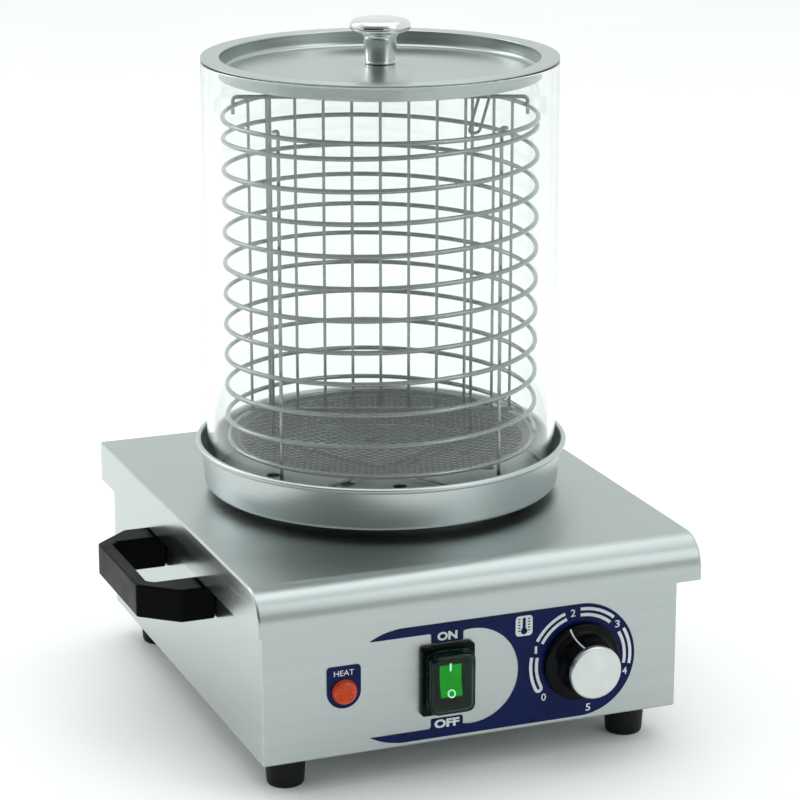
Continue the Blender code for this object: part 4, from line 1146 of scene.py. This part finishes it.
def lid():
    low, high, _ = span("lid_dish")
    t = 0.8 * MM
    plug = 90.0 * MM
    rise = 4.9 * MM  # the floor is raised in the middle
    flange = high.z - t
    outer = (high.x - low.x) / 2
    hole, edge = 2.8, 82
    radii = [hole + (edge - hole) * k / 20 for k in range(21)]
    upper = [(r * MM, low.z + t + rise * cos(radians(r))) for r in radii]
    lower = [(r, z - t) for r, z in upper]
    wall = rounded(
        [upper[-1], (plug - 1.6 * MM, low.z + t + 0.1 * MM), (plug - t, high.z), (outer, high.z),
         (outer, flange), (plug, flange), (plug - 0.1 * MM, low.z), lower[-1]],
        mm(0, 3, 0.7, 0.35, 0.35, 0.3, 0.9, 0), 6, False)
    profile = upper[:-1] + wall + lower[::-1][1:]
    seat_on_axis("lid_pan", turned(profile, 192), "lid_steel", "lid", ["lid_dish"], 40)
    lid_knob()
    made = screw("lid_screw", Vector((0, 0)), 4.4, 2.2, 2.2, 1.95)
    seat_on_axis("lid_bolt", made, "zinc_fastener", "lid", ["lid_screw"])


def lid_knob():
    low, high, _ = span("lid_knob")
    seat, top = low.z, high.z
    r, bore = 17.0 * MM, 2.4 * MM
    stem = [(8.4, 0), (8.4, 0.9), (8.0, 1.2), (8.5, 1.5), (9.3, 15.0), (11.6, 17.2)]
    profile = [(bore, seat)] + above(seat, *stem)
    profile += [
        (r - 1.6 * MM, seat + 17.9 * MM), (r, seat + 19.4 * MM), (r, top - 3.4 * MM),
        (r - 1.6 * MM, top - 1.5 * MM), (r - 7 * MM, top - 0.3 * MM), (0, top),
        (0, seat + 12 * MM), (bore, seat + 12 * MM)]
    sizes = mm(0, 0.2, 0.15, 0.2, 0.2, 3, 2, 1.2, 1.2, 1.2, 1.2, 3, 0, 0, 0)
    mesh = turned(rounded(profile, sizes, 6), 96)
    seat_on_axis("lid_handle", mesh, "chrome_knob", "lid", ["lid_knob"], angle=50)


# --- the rest

def dress_cad_nodes():
    """Every CAD node that stays in view gets its slot's material."""
    slots = {row["node"]: row["material_slot"] for row in frame["record"]["subparts"]}
    for name, obj in frame["nodes"].items():
        if obj.hide_render:
            continue
        obj.data.materials.clear()
        obj.data.materials.append(LOOKS[slots[name]])
        smooth(obj.data, 32)


def camera():
    data = bpy.data.cameras.new("camera")
    data.sensor_width = 36.0
    data.lens = 130.76
    data.clip_end = 60.0
    obj = bpy.data.objects.new("camera", data)
    SCENE.collection.objects.link(obj)
    spot = Vector((-0.5744, -1.4870, 0.6330))
    aim = Vector((0.0, -0.024, 0.1805))
    obj.location = spot
    obj.rotation_euler = (aim - spot).to_track_quat("-Z", "Y").to_euler()
    SCENE.camera = obj


def lamp_panel(name, spot, aim, width, height, power):
    data = bpy.data.lights.new(name, "AREA")
    data.shape = "RECTANGLE"
    data.size = width
    data.size_y = height
    data.energy = power
    obj = bpy.data.objects.new(name, data)
    obj.location = spot
    obj.rotation_euler = (Vector(aim) - Vector(spot)).to_track_quat("-Z", "Y").to_euler()
    SCENE.collection.objects.link(obj)


def studio():
    """A white room with one dim side, a few soft panels, a flag and a pale floor."""
    world = bpy.data.worlds.new("studio")
    SCENE.world = world
    world.use_nodes = True
    tree = world.node_tree
    back = tree.nodes["Background"]
    coords = tree.nodes.new("ShaderNodeTexCoord")
    dim_side = tree.nodes.new("ShaderNodeVectorMath")
    dim_side.operation = "DOT_PRODUCT"
    dim_side.inputs[1].default_value = (-0.62, -0.785, 0.0)
    ramp = tree.nodes.new("ShaderNodeValToRGB")
    tree.links.new(coords.outputs["Generated"], dim_side.inputs[0])
    tree.links.new(dim_side.outputs["Value"], ramp.inputs[0])
    tree.links.new(ramp.outputs[0], back.inputs["Color"])
    bright = (0.93, 0.97, 0.96)
    stops = [(0.0, bright), (0.35, bright), (0.72, (0.3, 0.32, 0.32)), (1.0, (0.17, 0.19, 0.19))]
    fill_ramp(ramp.color_ramp, stops)
    back.inputs["Strength"].default_value = 1.0
    mid = (0, 0, 0.18)
    lamp_panel("key", (0.9, -1.5, 1.3), mid, 0.8, 1.2, 4)
    lamp_panel("top", (0.1, 0.2, 2.0), mid, 1.6, 1.6, 7)
    lamp_panel("ceiling", (0, 1.0, 4.0), (0, 1.0, 0), 6.0, 6.0, 40)
    lamp_panel("rear", (-1.2, 1.4, 1.1), mid, 0.8, 1.2, 7)
    stage_piece("dark_flag", flag_mesh(), Look("dark_flag", (0.02, 0.022, 0.022), 0.0, 0.9), False)
    floor = bmesh.new()
    bmesh.ops.create_grid(floor, x_segments=8, y_segments=8, size=9.0)
    look = Look("pale_floor", (0.93, 0.94, 0.94), 0.0, 0.75)
    cloud = look.noise(look.coords, 3.0, 2.0, 0.5)
    look.tint(cloud, (0.96, 0.965, 0.965), (0.98, 0.985, 0.985))
    stage_piece("floor", floor, look)
    SCENE.view_settings.view_transform = "Standard"


def flag_mesh():
    """A low dark wall off to the front left, seen only in the steel."""
    mesh = bmesh.new()
    plan = arc((0, 0), 2.1, 184, 262, 16)
    low, high = [[mesh.verts.new((x, y, z)) for x, y in plan] for z in (0.002, 0.55)]
    for i in range(len(plan) - 1):
        mesh.faces.new((low[i], low[i + 1], high[i + 1], high[i]))
    return mesh


def stage_piece(name, mesh, look, seen=True):
    obj = new_object(name, mesh)
    obj.data.materials.append(look.mat)
    for ray in ("camera", "transmission", "shadow"):
        setattr(obj, "visible_" + ray, seen)


camera()
studio()
top_cover()
body_shell()
underside()
handles()
gland()
films()
lamp()
switch()
rocker()
knob()
water_pan()
steam_plate()
glass()
basket()
basket_floor()
divider()
lid()
dress_cad_nodes()
